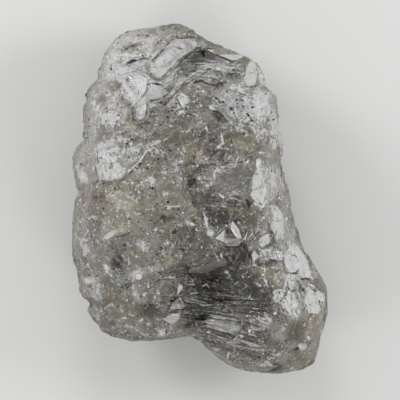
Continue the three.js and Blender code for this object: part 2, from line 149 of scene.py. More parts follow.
def outlineDistance(x, y, outline):
    # signed distance to a closed outline, negative inside
    inside = np.zeros(len(x), dtype=bool)
    for (ax, ay), (bx, by) in zip(outline, outline[1:] + outline[:1]):
        if ay == by:
            continue
        crosses = (ay > y) != (by > y)
        inside ^= crosses & (x < (bx - ax) * (y - ay) / (by - ay) + ax)
    distance = lineDistance(x, y, outline + outline[:1])[0]
    return np.where(inside, -distance, distance)


# the stone, in millimetres: places are across (x) and up (y) as seen from above
stoneShape = {
    # the mesh
    "voxel": 0.031,  # size of one quad on the upper side
    "mostTriangles": 190000,
    "thinBelow": 1.45,  # height and steepness past which the mesh is thinned out
    "thinSteeper": 0.1,
    "smoothing": (2, 0.5),  # passes and share of each for the surface
    "normalSmoothing": (6, 0.5),  # and for the direction that the relief stands out in
    "finer": [  # places whose mesh is twice as fine: middle, half sizes
        (0.72, -0.78, 0.55, 0.42), (-0.5, -2.2, 0.28, 0.4), (0.55, -2.15, 0.9, 0.55), (1.95, -1.9, 0.5, 0.45),
    ],
    "rest": (0.05, 0.2),  # untouched up to the first height, so that it rests flat, and free from the second
    "pushed": [  # places of the rim moved sideways: middle, radius, move across and up
        (-2.24, -2.09, 0.1, 0.1, 0.0), (-2.3, -1.98, 0.12, -0.03, 0.0), (-2.22, -2.24, 0.12, -0.05, -0.02),
        (-2.36, 1.16, 0.08, 0.05, 0.0), (-2.02, 2.44, 0.1, 0.05, -0.02), (1.33, 2.3, 0.09, -0.06, 0.0),
        (1.6, 0.76, 0.08, -0.04, 0.0), (-0.14, 3.44, 0.1, 0.03, 0.03), (-0.62, 3.46, 0.08, 0.0, -0.02),
        (-2.04, -2.42, 0.14, -0.07, -0.04), (-1.9, -2.62, 0.15, -0.07, -0.05),
        (-1.72, -2.77, 0.13, -0.03, -0.03), (2.42, -2.84, 0.08, -0.04, 0.0), (2.22, -3.28, 0.14, 0.05, -0.02),
    ],
    # the relief
    "above": ((0.0, 0.14), (0.2, 0.5)),  # steepness and height over which the drawn marks set in
    "wander": (0.32, (3, 13), 0.045, 0.01),  # how borders wander: size, seeds, reach of zones, of the rest
    "fray": (0.11, (33, 37), 0.022),  # how ragged plate edges wander besides: size, seeds, reach
    "grain": (0.1, 5, 0.007),  # size, seed, height
    "bigFacets": (0.42, 11, 0.08, 0.02),  # size, seed, tilt, lift
    "smallFacets": (0.15, 17, 0.12, 0.01),
    "streakHeight": 0.011,
    "calmed": (0.6, 0.85),  # how far a smooth plate takes away facets and relief
    "plateEdge": 0.014,  # half width of the step at a plate's edge
    "plateReach": 0.15,  # how far from its edge a plate's mark is told apart
    "lift": 0.5,  # share of its listed lift that a plate gets
    "depths": {"crack": -1.0, "glint": 0.4},  # cracks are cut in and the painted glints, highlights along edges, stand out, in lineDepths
    "lineDepth": 0.012,
    "lineFray": 0.6,  # raggedness of lines
    "lineSpread": 1.3,  # width of the groove under a line over the line's own
    "lineTaper": (5, 0.12),  # how soon a line widens from its ends, and its share of width there
    "widen": 1.2,  # drawn width of lines and specks over the listed one
    "near": (0.06, 0.095),  # how close to a line or a speck it still counts
    "far": 9.0,  # further than anything on the stone
    "mostZone": 1.2,  # the most that overlapping patches add up to
    "spread": (0.9, 60, 7, 1.5),  # patches instead of zones on the flanks: size, first seed, step, contrast
    "spreadShares": {"streaky": 0.4, "dark": 0.45},  # how strong they are
    "spreadShare": 0.5,  # and how strong for any other zone
    "paintedRimLight": (0.1, 0.62),  # steepness over which the rim is painted paler, as light seen through the stone
    "laminations": {  # growth layers: nearly level at the top of the hollow, steeper lower down
        "top": -1.7, "bottom": -2.9, "slope": 0.05, "steeper": 0.22, "pivot": 0.3,
        "size": (0.75, 0.055), "seed": 41,
        # near the upper end they are bent over a ridge
        "upperFrom": 1.5, "ridge": -0.05, "leftFall": 0.7, "rightFall": 0.12,
        "bentSize": (0.5, 0.06), "bentSeed": 47,
    },
    # a plate's tone is partly its own paleness, partly a painted reflection of the light, and where dark
    # partly painted shade
    # smooth cleavage plates: outline, lift, tilt across and up, tone (dark below 0), smoothness, raggedness
    "plates": [
        ([(-0.97, 2.72), (-0.77, 2.93), (-0.52, 3.2), (-0.22, 3.2), (-0.08, 3.19), (-0.05, 3.1), (-0.1, 3.0),
          (-0.35, 2.82), (-0.5, 2.68), (-0.6, 2.57), (-0.72, 2.44), (-0.85, 2.43), (-0.97, 2.5),
          (-0.99, 2.62)], 0.0, (-0.02, 0.02), 0.48, 0.9, 0.4),
        ([(-1.48, 2.4), (-1.3, 2.46), (-1.08, 2.41), (-1.04, 2.27), (-1.08, 2.05), (-1.25, 2.07),
          (-1.43, 2.27)], 0.16, (-0.4, 0.0), 1.05, 0.6, 1.0),
        ([(-1.03, 2.25), (-0.78, 2.24), (-0.66, 2.12), (-0.76, 2.02), (-0.86, 1.98), (-1.02, 1.96),
          (-1.05, 2.1)], -0.01, (0.03, -0.05), 0.45, 0.9, 0.2),
        ([(-1.0, 2.37), (-0.72, 2.3), (-0.75, 2.28), (-1.0, 2.31)], 0.01, (0.0, 0.0), 0.5, 0.8, 0.0),
        ([(-1.16, 1.92), (-1.09, 1.93), (-1.05, 1.84), (-1.07, 1.68), (-1.13, 1.57), (-1.2, 1.55),
          (-1.27, 1.62), (-1.27, 1.75), (-1.22, 1.86)], 0.01, (0.05, 0.0), 0.72, 0.6, 0.5),
        ([(-1.27, -1.53), (-1.23, -1.48), (-1.16, -1.49), (-1.13, -1.56), (-1.19, -1.61),
          (-1.25, -1.59)], 0.02, (0.05, 0.0), 1.1, 0.8, 0.2),
        ([(-1.89, -1.27), (-1.84, -1.33), (-1.8, -1.44), (-1.74, -1.52), (-1.8, -1.55),
          (-1.87, -1.46)], 0.0, (0.05, 0.0), 0.6, 0.3, 1.6),
        ([(-2.32, -1.62), (-2.2, -1.56), (-2.09, -1.58), (-2.12, -1.68), (-2.22, -1.7)], 0.0, (0.0, 0.05),
          0.75, 0.2, 2.0),
        ([(-2.06, -1.7), (-2.0, -1.68), (-1.99, -1.86), (-2.05, -1.9)], 0.0, (0.0, 0.0), 0.45, 0.6, 0.8),
        ([(-1.9, -2.18), (-1.8, -2.1), (-1.72, -2.05), (-1.72, -2.11), (-1.84, -2.2)], 0.0, (0.0, 0.0),
          0.38, 0.2, 1.8),
        ([(-1.08, -2.49), (-1.0, -2.48), (-1.0, -2.54), (-1.08, -2.55)], 0.0, (0.0, 0.0), 0.42, 0.5, 1.0),
        ([(-0.84, -2.61), (-0.72, -2.6), (-0.65, -2.65), (-0.7, -2.71), (-0.82, -2.7)], 0.01, (0.05, 0.0),
          0.6, 0.3, 1.6),
        ([(-1.96, 1.66), (-1.74, 1.74), (-1.62, 1.66), (-1.7, 1.5), (-1.88, 1.44),
          (-1.98, 1.52)], 0.0, (-0.02, 0.0), 0.45, 0.2, 2.0),
        ([(0.13, -0.61), (0.22, -0.58), (0.27, -0.68), (0.2, -0.75), (0.13, -0.7)], 0.01, (0.05, 0.0),
          0.85, 0.2, 2.0),
        ([(-0.26, -0.46), (-0.18, -0.45), (-0.09, -0.52), (-0.08, -0.56), (-0.16, -0.53),
          (-0.24, -0.51)], 0.01, (0.0, 0.05), 0.9, 0.3, 1.5),
        ([(1.52, -3.02), (1.72, -2.98), (1.78, -3.12), (1.7, -3.26), (1.56, -3.22)], 0.0, (0.0, 0.03),
          0.22, 0.7, 0.8),
        ([(1.22, 0.52), (1.34, 0.5), (1.39, 0.3), (1.38, 0.02), (1.31, 0.0),
          (1.28, 0.25)], -0.01, (0.03, 0.0), 0.22, 0.8, 0.4),
        ([(-1.0, 1.9), (-0.86, 1.89), (-0.88, 1.82), (-1.0, 1.8)], 0.0, (0.0, 0.0), 0.4, 0.6, 0.6),
        ([(-0.72, 1.98), (-0.66, 1.98), (-0.4, 2.26), (-0.28, 2.34), (-0.34, 2.35),
          (-0.52, 2.22)], 0.0, (0.0, 0.0), 0.45, 0.7, 0.4),
        ([(-0.46, 2.02), (-0.36, 1.8), (-0.29, 1.8), (-0.2, 1.92), (-0.26, 2.02),
          (-0.36, 2.08)], 0.01, (0.1, 0.0), 0.55, 0.6, 0.3),
        ([(-0.35, 2.2), (-0.15, 2.22), (-0.1, 2.1), (-0.24, 2.03), (-0.36, 2.08)], 0.0, (0.0, 0.0),
          0.0, 0.8, 0.5),
        ([(0.15, 2.98), (0.3, 3.0), (0.28, 2.91), (0.18, 2.93)], 0.0, (0.0, 0.1), 0.55, 0.8, 0.3),
        ([(0.29, 3.03), (0.56, 3.01), (0.52, 2.93), (0.36, 2.89), (0.28, 2.92)], 0.0, (0.0, 0.06),
          -0.05, 0.8, 0.3),
        ([(0.34, 2.87), (0.6, 2.88), (0.9, 2.88), (0.8, 2.79), (0.7, 2.76), (0.56, 2.78)], 0.0, (0.05, 0.1),
          0.8, 0.8, 0.3),
        ([(0.72, 2.76), (0.9, 2.87), (1.0, 2.8), (0.97, 2.68), (0.92, 2.57), (0.82, 2.62)], 0.0, (0.05, 0.05),
          -0.12, 0.9, 0.3),
        ([(0.94, 2.68), (1.02, 2.74), (1.1, 2.7), (1.13, 2.48), (1.12, 2.3), (1.03, 2.23), (0.93, 2.27),
          (0.87, 2.38), (0.9, 2.52)], 0.02, (0.08, 0.05), 0.85, 0.7, 0.4),
        ([(0.24, 1.73), (0.36, 1.71), (0.46, 1.64), (0.54, 1.54), (0.48, 1.5), (0.4, 1.52),
          (0.32, 1.62)], -0.03, (0.0, 0.1), -0.75, 0.5, 0.3),
        ([(-0.26, 2.77), (-0.16, 2.92), (0.0, 2.97), (0.14, 2.93), (0.26, 2.86), (0.52, 2.77), (0.3, 2.75),
          (0.1, 2.78)], -0.02, (0.0, 0.0), 0.32, 0.4, 0.6),
        ([(0.6, 1.22), (0.74, 1.27), (1.04, 1.2), (1.12, 1.05), (1.0, 0.95),
          (0.64, 0.95)], -0.01, (0.05, 0.0), 0.0, 0.6, 1.0),
        ([(1.1, 0.76), (1.21, 0.78), (1.25, 0.55), (1.29, 0.3), (1.34, 0.05), (1.3, -0.1), (1.23, -0.24),
          (1.12, -0.14), (1.03, 0.0), (1.01, 0.12), (1.05, 0.22), (1.03, 0.42),
          (1.12, 0.56)], 0.0, (0.05, 0.0), 0.84, 0.5, 1.2),
        ([(1.16, 0.8), (1.4, 0.72), (1.47, 0.45), (1.46, 0.1), (1.43, -0.02), (1.4, 0.2), (1.39, 0.4),
          (1.34, 0.53), (1.2, 0.58)], 0.0, (0.05, 0.0), 0.3, 0.4, 1.6),
        ([(1.4, -0.14), (1.5, -0.12), (1.59, -0.2), (1.65, -0.42), (1.66, -0.8), (1.56, -0.88), (1.48, -0.85),
          (1.45, -0.7), (1.39, -0.55), (1.44, -0.42)], 0.0, (0.06, 0.0), 0.8, 0.5, 1.2),
        ([(1.64, -0.42), (1.72, -0.44), (1.78, -0.7), (1.84, -0.92), (1.72, -0.96),
          (1.64, -0.8)], 0.0, (0.05, 0.0), 0.32, 0.8, 0.5),
        ([(1.76, -0.94), (1.86, -0.86), (1.96, -0.98), (2.1, -1.18), (2.24, -1.58), (2.06, -1.6),
          (1.9, -1.47), (1.74, -1.47), (1.67, -1.2), (1.66, -1.1)], 0.02, (0.1, 0.05), 0.85, 0.5, 0.8),
        ([(1.34, -0.7), (1.39, -0.86), (1.3, -0.93), (1.19, -0.96), (1.16, -0.84),
          (1.21, -0.74)], 0.03, (0.1, 0.1), 0.95, 0.5, 0.5),
        ([(1.07, -1.02), (1.16, -1.14), (1.06, -1.24), (0.99, -1.13)], 0.03, (0.1, 0.1), 0.85, 0.6, 0.5),
        ([(1.16, -1.0), (1.3, -0.98), (1.45, -1.03), (1.6, -1.06), (1.62, -1.18), (1.4, -1.2), (1.26, -1.28),
          (1.18, -1.2)], 0.02, (0.0, 0.1), 0.7, 0.2, 2.0),
        ([(1.44, -1.84), (1.6, -1.76), (1.7, -1.52), (1.76, -1.46), (1.88, -1.54), (1.84, -1.68),
          (1.8, -1.84), (1.92, -2.04), (1.98, -2.24), (1.9, -2.34), (1.78, -2.3), (1.7, -2.16), (1.64, -2.04),
          (1.54, -1.98), (1.45, -1.96)], 0.03, (-0.05, 0.05), 0.95, 0.3, 1.6),
        ([(2.12, -1.76), (2.16, -1.68), (2.26, -1.74), (2.34, -1.84), (2.46, -1.9), (2.5, -2.02),
          (2.38, -2.08), (2.4, -2.22), (2.34, -2.32), (2.16, -2.26), (2.12, -2.16), (2.05, -2.08),
          (2.12, -1.92)], 0.02, (0.05, 0.0), 0.9, 0.4, 1.2),
        ([(1.93, -2.92), (2.0, -2.86), (2.12, -2.88), (2.1, -3.0), (2.0, -3.04)], 0.03, (0.05, 0.0),
          0.48, 0.9, 0.3),
        ([(1.54, -2.6), (1.62, -2.48), (1.68, -2.52), (1.62, -2.7), (1.52, -2.76)], 0.02, (0.05, 0.0),
          0.3, 0.9, 0.3),
        ([(1.7, -2.62), (1.8, -2.4), (2.02, -2.44), (2.06, -2.7), (1.96, -2.84),
          (1.74, -2.8)], -0.02, (0.05, 0.0), -0.25, 0.7, 0.6),
        ([(2.08, -2.62), (2.22, -2.62), (2.24, -2.78), (2.1, -2.84)], 0.01, (0.1, 0.0), 0.25, 0.6, 0.6),
        ([(-2.0, 1.02), (-1.72, 1.06), (-1.6, 0.98), (-1.62, 0.82), (-1.8, 0.74),
          (-1.98, 0.78)], 0.01, (-0.03, 0.02), 0.75, 0.2, 1.6),
        ([(-2.04, 0.72), (-1.8, 0.7), (-1.62, 0.72), (-1.48, 0.5), (-1.5, 0.41), (-1.75, 0.35),
          (-2.0, 0.37)], 0.01, (-0.03, 0.02), 0.5, 0.5, 0.8),
        ([(-1.45, 1.02), (-1.0, 1.12), (-0.88, 1.02), (-1.08, 0.9), (-1.22, 0.74), (-1.38, 0.62),
          (-1.44, 0.8)], 0.01, (-0.03, 0.02), 0.28, 0.2, 1.2),
        # a loose flake standing in the hollow, in two parts
        ([(-0.74, -2.4), (-0.62, -2.3), (-0.46, -2.27), (-0.38, -2.25), (-0.4, -2.36), (-0.5, -2.45),
          (-0.58, -2.5), (-0.66, -2.45)], 0.05, (0.1, -0.1), 0.55, 0.8, 0.3),
        ([(-0.5, -2.03), (-0.4, -1.95), (-0.34, -2.05), (-0.33, -2.12), (-0.4, -2.17), (-0.55, -2.2),
          (-0.62, -2.27), (-0.65, -2.22), (-0.56, -2.1)], 0.05, (0.15, 0.0), 0.42, 0.7, 0.6),
        ([(-0.44, -1.74), (-0.38, -1.71), (-0.34, -1.76), (-0.38, -1.83), (-0.46, -1.93),
          (-0.45, -1.83)], 0.03, (0.1, 0.0), 0.9, 0.8, 0.3),
        ([(-0.24, -1.46), (-0.18, -1.34), (0.1, -1.31), (0.32, -1.22), (0.5, -1.16), (0.52, -1.3),
          (0.24, -1.42), (0.08, -1.48)], 0.02, (0.0, -0.05), 0.22, 0.8, 0.4),
        ([(0.13, -1.485), (0.25, -1.43), (0.48, -1.34), (0.5, -1.42), (0.4, -1.5),
          (0.24, -1.51)], -0.03, (0.0, 0.0), -0.9, 0.8, 0.3),
        ([(0.5, -1.36), (0.56, -1.5), (0.48, -1.48)], 0.02, (0.1, 0.0), 0.9, 0.9, 0.0),
        ([(0.02, -2.45), (0.18, -2.38), (0.45, -2.42), (0.74, -2.49), (0.84, -2.58), (0.72, -2.67),
          (0.5, -2.65), (0.28, -2.59), (0.1, -2.53)], 0.03, (0.0, -0.05), 0.28, 0.7, 0.3),
        # the small upright pyramid, its faces painted lit and shaded: right wing, left wing, shaded notch,
        # front
        ([(0.636, -0.43), (0.757, -0.6), (0.829, -0.787), (0.743, -0.8), (0.593, -0.587)], 0.0, (0.2, 0.1),
          0.9, 1.0, 0.0),
        ([(0.512, -0.575), (0.495, -0.87), (0.42, -0.83), (0.29, -0.79)], 0.0, (-0.2, 0.1), 0.85, 1.0, 0.0),
        ([(0.593, -0.587), (0.68, -0.7), (0.503, -0.69), (0.51, -0.6)], -0.04, (0.0, 0.2), -0.8, 1.0, 0.0),
        ([(0.675, -0.695), (0.743, -0.8), (0.498, -0.79), (0.503, -0.685)], -0.02, (0.0, 0.1),
          -0.25, 1.0, 0.0),
        ([(0.498, -0.785), (0.743, -0.795), (0.814, -0.844), (0.771, -0.916), (0.671, -0.944),
          (0.514, -0.937), (0.493, -0.844)], 0.0, (0.0, -0.1), 0.4, 1.0, 0.0),
        ([(0.943, -0.637), (0.9, -0.844), (0.829, -0.815)], 0.02, (0.1, 0.1), 0.8, 0.9, 0.0),
        ([(0.957, -0.93), (0.9, -1.1), (0.93, -1.12), (1.06, -0.95)], 0.02, (0.1, 0.1), 0.45, 0.8, 0.0),
        ([(0.4, -1.06), (0.43, -1.1), (0.47, -1.23), (0.4, -1.16)], 0.02, (0.1, 0.0), 0.8, 0.8, 0.0),
    ],
    # soft-edged patches: place, half sizes, turn, amount (below 0 takes away from what lies there)
    "zones": {
        # paler patches: partly the stone's own pale and frosted places, partly painted light where creases
        # lie in shade
        "pale": [
            (-2.12, 1.65, 0.15, 0.5, 0, 0.42), (1.15, 1.27, 0.22, 0.09, -58, 0.42),
            (0.04, 3.07, 0.13, 0.07, 0, 0.38), (1.06, -0.93, 0.13, 0.1, 0, 0.32),
            (-0.14, 0.13, 0.3, 0.06, -62, 0.28), (0.86, 2.39, 0.1, 0.08, 0, 0.3),
            (0.1, -0.27, 0.22, 0.05, -35, 0.22), (-1.22, -0.42, 0.3, 0.07, -40, 0.22),
            (-1.35, 2.55, 0.85, 0.75, 0, 0.42), (-1.75, 0.95, 0.45, 0.45, 0, 0.22),
            (-2.1, -1.35, 0.35, 0.6, 0, 0.15), (0.75, -2.86, 0.45, 0.035, -5, 0.5),
            (0.95, -2.97, 0.45, 0.03, -3, 0.4), (1.58, 0.3, 0.1, 0.35, 10, 0.4),
            (-1.35, 2.28, 0.3, 0.28, 0, 0.3), (1.5, 1.3, 0.14, 0.4, 0, 0.45), (-2.35, -0.4, 0.2, 0.9, 0, 0.2),
            (-1.45, 1.75, 0.6, 0.5, 0, 0.16), (-1.72, 1.6, 0.12, 0.1, 0, 0.35),
            (-1.82, 0.92, 0.21, 0.19, 0, 0.75), (-2.36, 0.5, 0.09, 0.17, 25, 1.05),
            (-1.85, -0.62, 0.14, 0.26, 0, 0.32), (0.85, 1.85, 0.55, 0.38, -20, 0.42),
            (1.2, 1.85, 0.16, 0.35, 10, 0.3), (1.05, 2.6, 0.12, 0.12, 0, 0.35),
            (1.0, 2.36, 0.11, 0.11, 0, 0.4), (0.1, 2.55, 0.75, 0.25, 10, 0.32),
            (-1.12, -0.93, 0.07, 0.08, 0, 0.55), (-0.92, -0.8, 0.16, 0.15, 0, 0.25),
            (-1.36, 3.0, 0.17, 0.07, 20, -0.38), (-1.2, 3.08, 0.12, 0.04, 15, -0.25),
            (-1.66, 2.22, 0.16, 0.14, 0, -0.42), (-1.05, 3.28, 0.3, 0.06, 12, -0.18),
            (-1.52, 2.0, 0.12, 0.1, 0, -0.4), (-1.36, 1.72, 0.06, 0.22, 12, -0.6),
            (-0.9, 1.66, 0.12, 0.1, 0, -0.3), (-0.84, 3.1, 0.07, 0.2, -30, -0.3),
            (-1.04, 2.62, 0.05, 0.12, 10, -0.35), (-1.95, 1.98, 0.14, 0.1, 0, -0.3),
            (-1.55, 2.72, 0.14, 0.05, 20, -0.25), (1.05, 2.12, 0.2, 0.06, 0, -0.2),
            (0.12, 2.84, 0.34, 0.09, -8, 0.55), (0.45, 2.8, 0.25, 0.04, -14, 0.4),
            (-0.2, 2.7, 0.14, 0.1, 35, 0.35), (1.22, 2.46, 0.07, 0.2, 0, 0.65),
            (1.12, 2.72, 0.12, 0.06, -40, 0.4), (1.22, 2.1, 0.16, 0.06, -10, 0.25),
            (-0.46, 0.72, 0.16, 0.05, 35, 0.3), (-0.1, 0.95, 0.06, 0.12, 0, 0.2),
            (0.7, 0.8, 0.22, 0.05, -5, 0.2), (0.12, -0.44, 0.035, 0.14, 10, 0.55),
            (0.2, -0.66, 0.07, 0.07, 0, 0.35), (-1.24, -1.52, 0.14, 0.1, 0, 0.4),
            (-1.3, -1.4, 0.2, 0.08, 0, 0.25), (-1.3, -1.86, 0.06, 0.16, 10, 0.25),
            (-1.62, -2.46, 0.34, 0.05, -22, 0.25), (-0.7, 1.55, 0.5, 0.3, 0, 0.06),
            (-1.38, -0.95, 0.4, 0.35, 0, 0.12), (1.52, 1.28, 0.12, 0.3, 0, 0.3),
            (-1.75, 0.8, 0.4, 0.35, 0, 0.12), (1.13, 0.38, 0.06, 0.12, 0, 0.3),
            (-1.5, 2.55, 0.4, 0.3, 0, 0.12), (-1.84, -1.42, 0.08, 0.14, -20, 0.25),
            (-2.2, -1.62, 0.16, 0.08, 0, 0.2), (-0.38, -1.72, 0.06, 0.05, 0, 0.8),
            (0.2, -0.69, 0.06, 0.07, 0, 0.75), (-0.18, -0.5, 0.11, 0.04, -20, 0.8),
            (-0.98, 0.36, 0.1, 0.09, -40, 0.6), (-0.55, 0.62, 0.2, 0.14, 0, 0.28),
            (-0.44, 0.4, 0.08, 0.18, 0, 0.25), (-0.36, 0.73, 0.07, 0.05, 0, 0.55),
            (-0.64, 0.12, 0.1, 0.05, 0, 0.4), (0.4, -2.52, 0.5, 0.09, -14, 0.38),
            (0.35, -2.33, 0.42, 0.04, -10, 0.25), (1.28, -2.42, 0.14, 0.15, 0, 0.45),
            (1.22, -1.65, 0.15, 0.11, 0, 0.3), (1.85, -2.0, 0.4, 0.4, 0, 0.35),
            (1.85, -1.25, 0.3, 0.45, 20, 0.25), (2.02, -2.95, 0.09, 0.06, 0, 0.6),
            (2.15, -2.78, 0.06, 0.04, 0, 0.45), (-1.0, 2.8, 0.3, 0.25, 30, 0.2),
            (1.37, 0.3, 0.1, 0.45, 0, 0.25), (-1.15, 3.22, 0.6, 0.18, 10, 0.3),
            (-1.62, 2.75, 0.2, 0.25, 0, 0.2), (-1.2, 2.2, 0.28, 0.3, 0, 0.35),
            (-1.05, -1.43, 0.38, 0.07, 12, 0.35), (-1.55, -0.35, 0.28, 0.35, 0, 0.15),
            (-1.75, 0.52, 0.28, 0.16, 0, 0.35), (-0.45, -1.1, 0.1, 0.04, 20, 0.3),
            (-2.05, -1.9, 0.12, 0.14, 0, 0.35), (-1.75, -0.72, 0.14, 0.05, 30, 0.5),
            (-1.2, -1.85, 0.16, 0.2, 0, 0.22), (-1.5, -2.62, 0.35, 0.08, -8, 0.28),
            (-2.05, -2.28, 0.12, 0.16, 40, 0.3), (1.75, 0.0, 0.05, 0.45, -12, 0.35),
            (1.9, -0.62, 0.05, 0.35, -18, 0.35), (1.62, 1.05, 0.04, 0.35, 0, 0.3),
            (0.75, 2.22, 0.22, 0.12, -10, 0.35), (0.3, 2.62, 0.25, 0.05, -6, 0.35),
            (1.25, 1.85, 0.25, 0.3, 0, 0.3), (-0.35, 1.86, 0.14, 0.1, 0, 0.25), (1.35, 0.3, 0.2, 0.5, 0, 0.2),
            (-1.03, -2.5, 0.07, 0.03, 0, 0.5), (-0.78, -2.64, 0.08, 0.06, 0, 0.45),
            (-1.16, -2.38, 0.07, 0.04, 30, 0.3), (0.8, -2.72, 0.05, 0.03, 0, 0.8),
            (0.65, 0.62, 0.42, 0.1, -5, 0.14), (0.93, 0.72, 0.05, 0.05, 0, 0.45),
            (-0.62, 0.0, 0.9, 0.55, 0, 0.06), (1.45, -0.55, 0.22, 0.5, 0, 0.25),
            (-2.1, -0.37, 0.14, 0.06, 0, 0.25), (-1.55, 2.15, 0.3, 0.45, 0, 0.1),
            (1.0, -2.93, 0.4, 0.04, -3, 0.18), (0.55, 0.35, 0.4, 0.22, 0, 0.08),
        ],
        # darker patches: partly the stone's own dark colour, partly painted shade in hollows and on faces
        # that lie in shadow
        "dark": [
            (1.42, -2.38, 0.13, 0.11, 0, 0.38), (-1.24, 0.09, 0.18, 0.08, 10, 0.32),
            (1.02, -2.12, 0.3, 0.1, 0, 0.4), (0.13, 0.34, 0.09, 0.08, 0, 0.3),
            (-0.87, 0.44, 0.12, 0.08, 0, 0.22), (1.2, 2.07, 0.11, 0.07, 0, 0.28),
            (1.73, -1.0, 0.06, 0.11, 0, 0.32), (-0.77, -2.1, 0.13, 0.09, 0, 0.32),
            (-1.33, -1.93, 0.11, 0.11, 0, 0.25), (-0.37, -2.33, 0.09, 0.09, 0, 0.3),
            (-2.27, -1.0, 0.09, 0.2, 0, 0.25), (0.4, -1.5, 0.6, 0.25, -4, 0.12),
            (0.55, -1.75, 0.75, 0.38, -6, 1.15), (0.1, 0.85, 0.6, 0.55, 0, 0.2),
            (0.75, 1.1, 0.4, 0.25, 0, 0.22), (-0.1, -0.6, 0.9, 0.5, 0, 0.12),
            (0.5, -2.45, 0.9, 0.45, -8, 0.22), (0.72, -1.12, 0.26, 0.22, 0, 0.8),
            (0.02, -2.22, 0.34, 0.24, 0, 0.5), (-0.48, -1.4, 0.28, 0.1, 8, 0.55),
            (1.15, -2.1, 0.4, 0.18, 0, 0.5), (0.1, -1.55, 0.6, 0.25, -5, 0.35),
            (0.35, -1.42, 0.22, 0.07, 8, 0.6), (-1.63, -1.28, 0.17, 0.13, 0, 0.95),
            (-1.42, 2.97, 0.15, 0.07, 20, 0.55), (-1.24, 3.06, 0.14, 0.05, 15, 0.4),
            (-1.66, 2.22, 0.13, 0.11, 0, 0.4), (-1.36, 1.72, 0.06, 0.2, 12, 0.3),
            (-1.3, 1.5, 0.12, 0.08, -20, 0.25), (-0.92, 1.68, 0.1, 0.1, 0, 0.25),
            (-0.88, -2.24, 0.26, 0.12, -5, 0.3), (-1.58, -1.95, 0.16, 0.2, 0, 0.2),
            (1.9, -2.66, 0.14, 0.18, 0, 0.35), (1.49, -3.36, 0.1, 0.07, 0, 0.3),
            (1.49, -0.07, 0.09, 0.05, 0, 0.4), (-0.7, -1.6, 0.24, 0.04, 8, 0.3),
            (-0.98, 3.28, 0.1, 0.1, 0, 0.25), (-1.28, 1.62, 0.1, 0.2, 0, 0.35),
            (-0.95, 1.62, 0.14, 0.22, -30, 0.25), (-1.55, 2.2, 0.12, 0.16, 0, 0.25),
            (-1.25, 0.28, 0.25, 0.06, 20, 0.3), (-1.6, 0.17, 0.3, 0.05, 0, 0.3),
            (-2.02, 0.05, 0.16, 0.12, 0, 0.25), (-0.35, -2.05, 0.12, 0.1, 0, 0.4),
            (-0.62, -1.98, 0.16, 0.16, 0, 0.3), (-1.05, -2.28, 0.3, 0.14, 0, 0.3),
            (-1.65, -1.02, 0.22, 0.12, 30, 0.25), (0.45, -0.4, 0.28, 0.16, 0, 0.45),
            (-0.15, 0.34, 0.07, 0.1, 0, 0.35), (-0.62, -0.4, 0.16, 0.08, 0, 0.5),
            (0.02, 2.9, 0.06, 0.05, 0, 0.25), (0.28, 0.9, 0.15, 0.08, 0, 0.35),
            (0.32, 1.12, 0.12, 0.12, 0, 0.25), (0.38, -0.5, 0.12, 0.07, 20, 0.3),
            (0.0, -2.34, 0.28, 0.09, 0, 0.3), (-0.18, -2.5, 0.14, 0.06, 15, 0.9),
            (0.6, 2.46, 0.2, 0.06, 0, 0.25), (0.1, 2.8, 0.3, 0.08, -10, 0.12), (0.2, 2.5, 0.6, 0.16, 0, 0.1),
            (0.36, 1.64, 0.17, 0.1, -35, 0.6), (0.34, 1.15, 0.17, 0.14, 0, 0.4),
            (0.3, -0.15, 0.4, 0.3, 0, 0.3), (0.85, -0.1, 0.28, 0.2, -15, 0.38), (0.2, 0.0, 1.1, 1.6, 0, 0.1),
            (-0.1, -1.1, 0.75, 0.45, 0, 0.18), (1.6, -2.32, 0.14, 0.16, 0, 0.35),
            (1.5, -3.38, 0.15, 0.11, 0, 0.55), (1.2, -3.4, 0.08, 0.05, 0, 0.45),
            (0.9, -3.15, 0.4, 0.18, 0, 0.25), (1.9, -3.0, 0.07, 0.04, 0, 0.65),
            (1.55, -2.92, 0.12, 0.09, 0, 0.45), (-1.15, 0.05, 0.09, 0.18, 0, 0.35),
            (-1.1, 1.45, 0.14, 0.11, 0, 0.45), (0.38, 2.28, 0.1, 0.04, 0, 0.5),
            (0.62, 2.45, 0.1, 0.04, 0, 0.3), (-0.95, -2.12, 0.18, 0.09, 0, 0.3),
            (-1.45, -1.68, 0.11, 0.09, 0, 0.4), (1.43, -0.8, 0.07, 0.12, 0, 0.5),
            (0.28, 0.93, 0.18, 0.14, 0, 0.3), (0.1, -1.9, 0.55, 0.5, 0, 0.25),
            (-0.75, -1.75, 0.3, 0.3, 0, 0.12), (1.95, -2.62, 0.2, 0.2, 0, 0.22),
            (0.85, -2.3, 0.5, 0.12, 0, 0.3), (-1.5, -1.05, 0.22, 0.2, 0, 0.18),
            (0.4, -2.65, 0.36, 0.035, -14, 0.65), (-0.5, -2.24, 0.09, 0.035, 10, 0.75),
            (0.2, 0.3, 0.5, 0.4, 0, 0.1), (-0.85, -0.45, 0.2, 0.2, 0, 0.15),
        ],
        "warm": [
            (-1.5, 0.2, 0.45, 0.12, 8, 0.8), (-1.55, -0.32, 0.38, 0.42, 0, 0.55),
            (-1.42, 2.97, 0.22, 0.12, 20, 0.5), (-1.1, 1.5, 0.25, 0.2, 0, 0.4),
            (-1.3, 3.02, 0.34, 0.14, 15, 0.45), (-1.05, 3.28, 0.5, 0.1, 12, 0.3),
            (-1.66, 2.2, 0.2, 0.16, 0, 0.35), (-1.3, 1.5, 0.26, 0.14, 0, 0.45),
            (-1.8, 2.8, 0.14, 0.2, -30, 0.3), (-1.6, -1.98, 0.24, 0.26, 0, 0.25),
            (-2.03, -1.8, 0.08, 0.14, 0, 0.45), (-1.25, -1.95, 0.45, 0.5, 0, 0.15),
